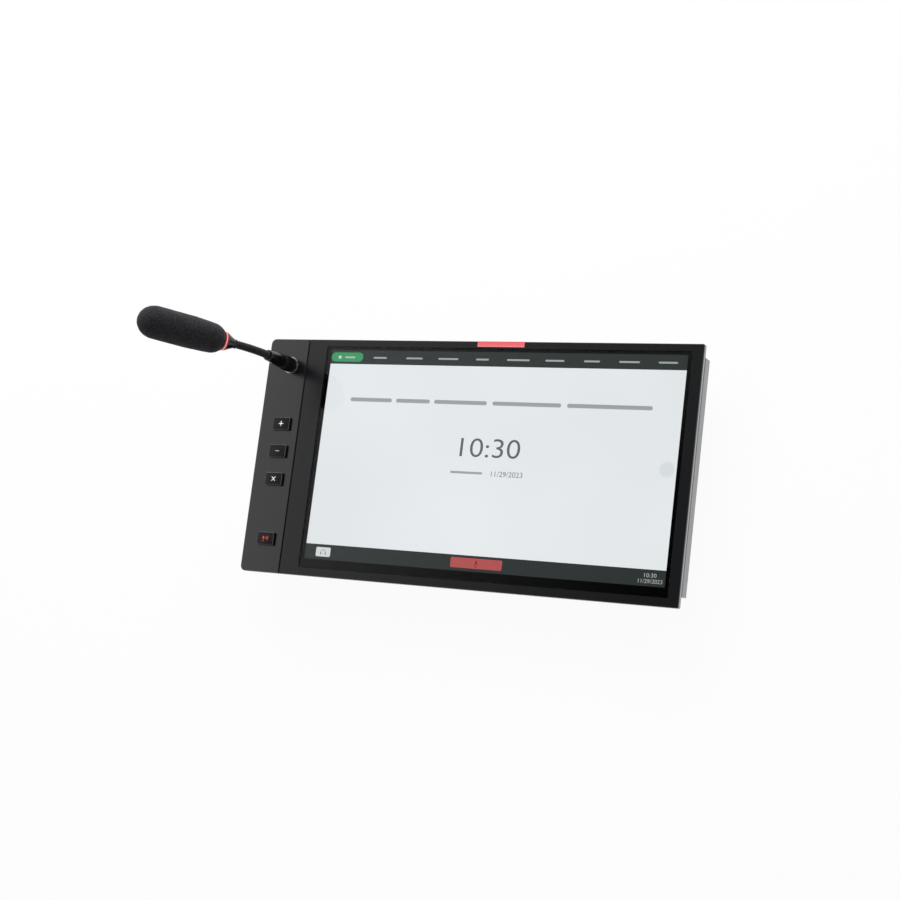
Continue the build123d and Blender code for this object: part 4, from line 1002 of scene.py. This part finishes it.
# %% Ribbed skins across the joints
RIBS, RINGS_PER_RIB = 5, 10
RIB_DEPTH, BLEND_SHARE = 0.42, 0.9
BEND_RADIUS = LINK / 2 / math.tan(math.radians(LEAN_STEP / 2))
neck_nodes = ["neck_base", "neck_link_1", "neck_link_2", "neck_link_3", "neck_top"]


def ribbed_skin(index):
    """A ribbed arc of tube across one ball joint."""
    start = balls[index] - lean(index) * LINK / 2
    outward = (lean(index + 1) - lean(index)).dot(bend_axis.cross(lean(index))) > 0
    turn_axis = bend_axis if outward else -bend_axis
    centre = start + turn_axis.cross(lean(index)).normalized() * BEND_RADIUS
    bm = bmesh.new()
    upright = lean(index).to_track_quat("Z", "Y").to_matrix().to_4x4()
    ring = bmesh.ops.create_circle(bm, cap_ends=True, segments=NECK_SIDES, radius=NECK_RADIUS,
                                   matrix=Matrix.Translation(start) @ upright)["verts"]
    made = bmesh.ops.spin(bm, geom=ring + list(bm.edges), cent=centre, axis=turn_axis,
                          angle=math.radians(LEAN_STEP), steps=RIBS * RINGS_PER_RIB)
    bmesh.ops.edgenet_fill(bm, edges=only(BMEdge, made["geom_last"]))
    zero = start - centre
    for vertex in bm.verts:
        arm = vertex.co - centre
        flat = arm - turn_axis * arm.dot(turn_axis)
        angle = math.atan2(turn_axis.dot(zero.cross(flat)), zero.dot(flat))
        share = angle / math.radians(LEAN_STEP) * RIBS
        drop = RIB_DEPTH * (0.5 + 0.5 * math.cos(2 * math.pi * share)) ** 2
        middle = centre + Matrix.Rotation(angle, 3, turn_axis) @ zero
        vertex.co = middle + (vertex.co - middle) * (1 - drop / NECK_RADIUS)
    skin = piece_from(bm, "neck_skin_" + str(index + 1), neck_black, None, crease=60.0)
    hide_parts(*neck_nodes[index:index + 2])
    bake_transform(skin)
    return skin


skins = [ribbed_skin(index) for index in range(4)]
print("skins", [(skin.name, len(skin.data.polygons)) for skin in skins])

# %% [markdown]
# ## Head: cone and light ring
#
# The cone widens from the neck to the ring, with a small collar and a groove at its foot. The
# ring is a clear red tube lit from inside: nearly white where the lamps shine through its
# middle, red at its edges. Both are spun upright and then set on the neck's end by one matrix.

# %% Cone and ring
head_axis = lean(4)
head_matrix = Matrix((bend_axis, head_axis.cross(bend_axis), head_axis)).transposed().to_4x4()
head_matrix.translation = head_foot
CONE_TOP, RING_TOP = 10.9, 14.2
CONE_BORE, HEAD_BORE = 3.4, 7.55
bm = bmesh.new()
spun(bm, [(CONE_BORE, -0.15), (4.05, -0.15), (4.2, 0.05), (4.2, 1.1), (3.85, 1.3), (3.85, 1.7), (4.15, 2.0),
          (5.0, 3.8), (6.6, 7.0), (7.75, 9.3), (8.2, 10.1), (8.3, 10.5), (8.3, CONE_TOP),
          (CONE_BORE, CONE_TOP)], closed=True, steps=128)
soften(bm, 24, 0.1)
cone = piece_from(bm, "head_cone_shell", gloss_black, "mic_head",
                  matrix=head_matrix, crease=10.0)
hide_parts("head_cone")

ring_low = head_foot.dot(head_axis) + CONE_TOP
RING_STOPS = [(0.0, (0.08, 0.003, 0.003)), (0.34, (0.3, 0.011, 0.011)), (0.45, (1.0, 0.3, 0.29)),
              (0.62, (1.0, 0.36, 0.35)), (0.73, (0.32, 0.013, 0.013)), (1.0, (0.08, 0.003, 0.003))]
ring_glow = glowing("Ring red", head_axis, ring_low * MM, (ring_low + RING_TOP - CONE_TOP) * MM,
                    RING_STOPS, 1.0, (0.1, 0.01, 0.01))
bm = bmesh.new()
spun(bm, [(HEAD_BORE, CONE_TOP + 0.02), (8.35, CONE_TOP + 0.02), (8.65, CONE_TOP + 0.6),
          (8.65, RING_TOP - 0.6), (8.35, RING_TOP), (HEAD_BORE, RING_TOP)], closed=True, steps=128)
ring_piece = piece_from(bm, "glowing_ring", ring_glow, "mic_head", matrix=head_matrix)
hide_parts("light_ring")
print("ring from", CONE_TOP, "to", RING_TOP, "mm above the cone's foot")

# %% [markdown]
# ## Foam windscreen
#
# The windscreen is a sleeve of open-cell foam. Its form is a long tube with a rounded foot and an
# elliptical tip. The cells are real relief here: every point of a dense mesh is moved along its
# normal by cell noise, less than half a millimetre, and the finest pores are left to the bump.
# The colour is darker towards each pore's middle, as painted shade in the hollows. A few flecks are much
# paler, as a painted highlight for cell walls that shine.

# %% The foam's shape
FOAM_LOW, FOAM_LENGTH = RING_TOP, 80.8
FOAM_RADIUS, LOW_RADIUS, FOOT_RADIUS = 14.35, 13.3, 8.8
FOOT_LENGTH, TAPER_LENGTH, TIP_LENGTH = 11.0, 36.0, 16.0
BORE_DEPTH, SMOOTH_DEPTH = 12.0, 15.0
FOAM_STEP, TIP_STEPS = 0.55, 36
CELL, CELL_DEPTH = 0.8, 0.34
SWELL, SWELL_DEPTH = 9.0, 0.12


def foam_radius(up):
    """The windscreen's radius at a height above its foot."""
    if up < FOOT_LENGTH:
        return FOOT_RADIUS + (LOW_RADIUS - FOOT_RADIUS) * (1 - (1 - up / FOOT_LENGTH) ** 2)
    if up < TAPER_LENGTH:
        share = (up - FOOT_LENGTH) / (TAPER_LENGTH - FOOT_LENGTH)
        return LOW_RADIUS + (FOAM_RADIUS - LOW_RADIUS) * math.sin(math.pi / 2 * share)
    return FOAM_RADIUS


def foam_outline():
    """Points up the windscreen's wall: bore, foot, side and tip."""
    points = [(HEAD_BORE, FOAM_LOW + BORE_DEPTH), (HEAD_BORE, FOAM_LOW + 0.3)]
    brow = FOAM_LENGTH - TIP_LENGTH
    count = round(brow / FOAM_STEP)
    points += [(foam_radius(k * brow / count), FOAM_LOW + k * brow / count) for k in range(count)]
    for k in range(TIP_STEPS + 1):
        turn = math.pi / 2 * k / TIP_STEPS
        points.append((FOAM_RADIUS * math.cos(turn), FOAM_LOW + brow + TIP_LENGTH * math.sin(turn)))
    return points


bm = bmesh.new()
spun(bm, foam_outline() + [(0.0, FOAM_LOW + FOAM_LENGTH)], steps=176)
bmesh.ops.edgenet_fill(bm, edges=[e for e in bm.edges if e.is_boundary])
bm.normal_update()
for vertex in bm.verts:
    if vertex.co.xy.length < HEAD_BORE + 0.2 and vertex.co.z < FOAM_LOW + SMOOTH_DEPTH:
        continue
    near = noise.voronoi(vertex.co / CELL, distance_metric="DISTANCE")[0][0]
    swell = noise.noise(vertex.co / SWELL)
    vertex.co -= vertex.normal * (CELL_DEPTH * (1.0 - min(near, 1.0)) - SWELL_DEPTH * swell)

foam_black, tree, shader = new_material("Foam black", Sheen_Weight=0.2, Sheen_Roughness=0.5,
                                        Sheen_Tint=(0.5, 0.5, 0.55), Specular_IOR_Level=0.2)
place = coordinates_of(tree)
pores = add_node(tree, "ShaderNodeTexVoronoi", Vector=place, Scale=1500.0).outputs["Distance"]
painted_glints = add_node(tree, "ShaderNodeTexNoise", Vector=place, Scale=1150.0, Detail=1.0).outputs["Fac"]
grain = patterned(tree, grain_group, (0.0145, 0.0145, 0.016), 0.9, 1800.0, 1.0, 0.1)
# painted shade: darker towards each pore's middle, where the hollows lie in shade
shade = math_node(tree, "ADD", math_node(tree, "MULTIPLY", pores, 1.3), 0.35)
# painted highlight: a few noise flecks made much paler, for cell walls that catch the light
shade = math_node(tree, "ADD", shade, ramped(tree, painted_glints, 0.52, 0.68, 0.0, 2.0))
link_finish(tree, shader, shaded(tree, grain["Color"], shade), grain["Roughness"], pores, 0.25, 0.8)
foam = piece_from(bm, "foam_windscreen", foam_black, "mic_head", matrix=head_matrix, crease=180.0)
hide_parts("windscreen")
print("foam", len(foam.data.polygons), "faces")

# %% [markdown]
# ## Small screws on the hidden sides
#
# Button-head screws hold the rear cover, the chassis plate and the strip's lid. One head is made
# by bridging a hexagon to a circle, pushing the hexagon in for the key and the circle down for
# the rim; all others are copies of it in one mesh.

# %% Button-head screws
def screw_head(bm, x, y, z, radius=2.4, height=1.3, depth=0.8):
    """Adds a button head that stands below the level z, seen from behind the unit."""
    hexagon = bmesh.ops.create_circle(bm, segments=6, radius=0.42 * radius)["verts"]
    circle = bmesh.ops.create_circle(bm, segments=24, radius=0.62 * radius)["verts"]
    hex_edges = list({e for v in hexagon for e in v.link_edges})
    circle_edges = list({e for v in circle for e in v.link_edges})
    bmesh.ops.bridge_loops(bm, edges=hex_edges + circle_edges)
    socket = bmesh.ops.extrude_edge_only(bm, edges=hex_edges)["geom"]
    floor_verts = only(BMVert, socket)
    bmesh.ops.translate(bm, vec=(0, 0, depth), verts=floor_verts)
    floor_edges = [e for e in only(BMEdge, socket) if all(v in floor_verts for v in e.verts)]
    bmesh.ops.contextual_create(bm, geom=floor_edges)
    verts = set(hexagon) | set(circle) | set(floor_verts)
    rim_edges = circle_edges
    for grow, fall in ((1.3, 0.18 * height), (1.18, 0.32 * height), (1.05, 0.5 * height)):
        made = bmesh.ops.extrude_edge_only(bm, edges=rim_edges)["geom"]
        ring = only(BMVert, made)
        rim_edges = [e for e in only(BMEdge, made) if all(v in ring for v in e.verts)]
        bmesh.ops.scale(bm, vec=(grow, grow, 1.0), verts=ring)
        bmesh.ops.translate(bm, vec=(0, 0, fall), verts=ring)
        verts |= set(ring)
    bmesh.ops.edgenet_fill(bm, edges=rim_edges)
    bmesh.ops.translate(bm, vec=(x, y, z - height), verts=list(verts))


COVER_BACK, CHASSIS_BACK, LID_BACK = -12.7, -11.2, -32.2
bm = bmesh.new()
for x in (-154.5, 194.5):
    for y in (-60.0, 0.0, 60.0):
        screw_head(bm, x, y, COVER_BACK)
for x in (-150.0, 26.0, 196.0):
    for y in (-88.0, 88.0):
        screw_head(bm, x, y, CHASSIS_BACK)
piece_from(bm, "cover_screws", zinc, "console")
bm = bmesh.new()
for x in (-197.4, -176.0):
    for y in (-94.5, 94.5):
        screw_head(bm, x, y, LID_BACK, radius=2.0, height=0.84, depth=0.6)
piece_from(bm, "lid_screws", zinc, "console")
print("12 cover screws and 4 lid screws")

# %% [markdown]
# ## Contacts and lamps in the sockets
#
# Eight gilt springs hang in the mouth of each network socket, and two small lamps sit above it.
# They are plain bars, slanted by a rotation, so a cube is enough.

# %% Socket details
JACK_XS = (116.0, 96.0)
JACK_FACE = 80.3
SPRINGS, SPRING_PITCH = 8, 1.02
SPRING_SLANT = Matrix.Rotation(math.radians(12), 3, "X")
SPRING_PLACE = (0.0, 72.3, -20.2)
lamp_green = glowing("Lamp green", (0.0, 0.0, 1.0), -0.019, -0.016,
                     [(0.0, (0.02, 0.3, 0.05)), (1.0, (0.05, 0.5, 0.1))], 0.6, (0.02, 0.1, 0.03))
bm = bmesh.new()
for jack_x in JACK_XS:
    for k in range(SPRINGS):
        x = jack_x + (k - (SPRINGS - 1) / 2) * SPRING_PITCH
        spring = slab(bm, x - 0.22, x + 0.22, -5.0, 5.0, -0.15, 0.15)
        bmesh.ops.rotate(bm, cent=(x, 0, 0), matrix=SPRING_SLANT, verts=spring)
        bmesh.ops.translate(bm, vec=SPRING_PLACE, verts=spring)
piece_from(bm, "network_contacts", gilt, "console")
bm = bmesh.new()
for jack_x in JACK_XS:
    for side in (-1, 1):
        x = jack_x + side * 6.6
        slab(bm, x - 1.1, x + 1.1, JACK_FACE - 0.3, JACK_FACE + 0.05, -18.6, -17.2)
piece_from(bm, "network_lamps", lamp_green, "console")
print("springs and lamps in", len(JACK_XS), "network sockets")

# %% [markdown]
# ## Studio
#
# The floor is a plain white sheet. The camera, and the mirror and glass rays, see it as white,
# while a small share of ordinary shading keeps the soft shadow. A flat dark panel mirrors what
# is above it, and in the photograph it fades from grey on the left to near black on the right.
# So the room that mirrors see is bright at the horizon and dark overhead, with one large soft
# patch of light on the left and a dimmer one behind, and without edges that would show in the
# screen. The softboxes stay out of mirrors and glass for the same reason.

# %% Floor
FLOOR_Z = cad_low.z - 0.0002
bm = bmesh.new()
bmesh.ops.create_grid(bm, x_segments=1, y_segments=1, size=12.0, matrix=Matrix.Translation((0, 0, FLOOR_Z)))
floor_mesh = bpy.data.meshes.new("floor")
bm.to_mesh(floor_mesh)
bm.free()
floor = bpy.data.objects.new("floor", floor_mesh)
bpy.context.scene.collection.objects.link(floor)
floor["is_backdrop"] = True


def seen_directly(tree):
    """1 for camera, mirror and glass rays, 0 for the rays that carry soft light."""
    path = tree.nodes.new("ShaderNodeLightPath")
    total = math_node(tree, "ADD", path.outputs["Is Camera Ray"], path.outputs["Is Glossy Ray"])
    return math_node(tree, "MINIMUM", math_node(tree, "ADD", total, path.outputs["Is Transmission Ray"]), 1.0)


floor_white = bpy.data.materials.new("Floor white")
floor_white.use_nodes = True
tree = floor_white.node_tree
tree.nodes.clear()
WHITE_SHARE = 0.94
paper = add_node(tree, "ShaderNodeBsdfDiffuse", Color=(0.85, 0.85, 0.85))
glow = add_node(tree, "ShaderNodeEmission", Color=(1.0, 1.0, 1.0), Strength=1.0)
white = math_node(tree, "MULTIPLY", seen_directly(tree), WHITE_SHARE)
mixed = add_node(tree, "ShaderNodeMixShader", i0=white, i1=paper.outputs[0], i2=glow.outputs[0])
add_node(tree, "ShaderNodeOutputMaterial", Surface=mixed.outputs[0])
floor_mesh.materials.append(floor_white)
print("floor at", round(FLOOR_Z, 5))

# %% The room
ROOM_LIGHT = 0.24
world = bpy.data.worlds.new("Room")
bpy.context.scene.world = world
world.use_nodes = True
tree = world.node_tree
tree.nodes.clear()
direction = parts_of(tree, "Generated")
horizon = ramped(tree, direction["Z"], 0.12, 0.5, 1.0, 0.0, smooth=True)
patch = math_node(tree, "POWER", ramped(tree, direction["X"], -0.3, -0.62), 2.0)
behind = ramped(tree, direction["Y"], 0.13, 0.24, 0.02, 0.27, smooth=True)
level = math_node(tree, "ADD", math_node(tree, "MAXIMUM", patch, horizon), behind)
looking = tree.nodes.new("ShaderNodeLightPath").outputs["Is Camera Ray"]
wall = add_node(tree, "ShaderNodeBackground", Color=math_node(tree, "MAXIMUM", level, looking), Strength=1.0)
fill = add_node(tree, "ShaderNodeBackground", Color=(1.0, 1.0, 1.0), Strength=ROOM_LIGHT)
mixed = add_node(tree, "ShaderNodeMixShader", i0=seen_directly(tree), i1=fill.outputs[0], i2=wall.outputs[0])
add_node(tree, "ShaderNodeOutputWorld", Surface=mixed.outputs[0])
print("room light", ROOM_LIGHT)

# %% Softboxes
def softbox(name, place, aim, width, height, power):
    """A soft rectangular lamp that looks at a point and stays out of mirrors and glass."""
    data = bpy.data.lights.new(name, "AREA")
    data.shape = "RECTANGLE"
    data.size, data.size_y = width, height
    data.energy = power
    lamp = bpy.data.objects.new(name, data)
    lamp.location = place
    lamp.rotation_mode = "QUATERNION"
    lamp.rotation_quaternion = (Vector(aim) - Vector(place)).to_track_quat("-Z", "Y")
    lamp.visible_glossy = False
    lamp.visible_transmission = False
    bpy.context.scene.collection.objects.link(lamp)


softbox("Softbox back", (-0.35, 1.35, 0.85), (-0.15, 0.05, 0.0), 1.3, 0.8, 30.0)
softbox("Softbox left", (-1.25, 0.25, 1.1), (-0.1, 0.0, 0.0), 0.9, 1.1, 5.0)
softbox("Softbox right", (1.2, 0.6, 0.9), (0.0, 0.0, 0.0), 0.9, 0.9, 4.0)
softbox("Softbox front", (0.2, -1.5, 0.8), (0.0, 0.0, 0.0), 1.2, 0.7, 2.5)
print("four softboxes")

# %% [markdown]
# ## Sizes and the end
#
# The CAD model's box and the dressed model's box are printed side by side. The dressed model
# has to stay inside the CAD model's box.

# %% Print the sizes
low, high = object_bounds()
print("cad", [round(v, 4) for v in cad_high - cad_low], "visual", [round(v, 4) for v in high - low])
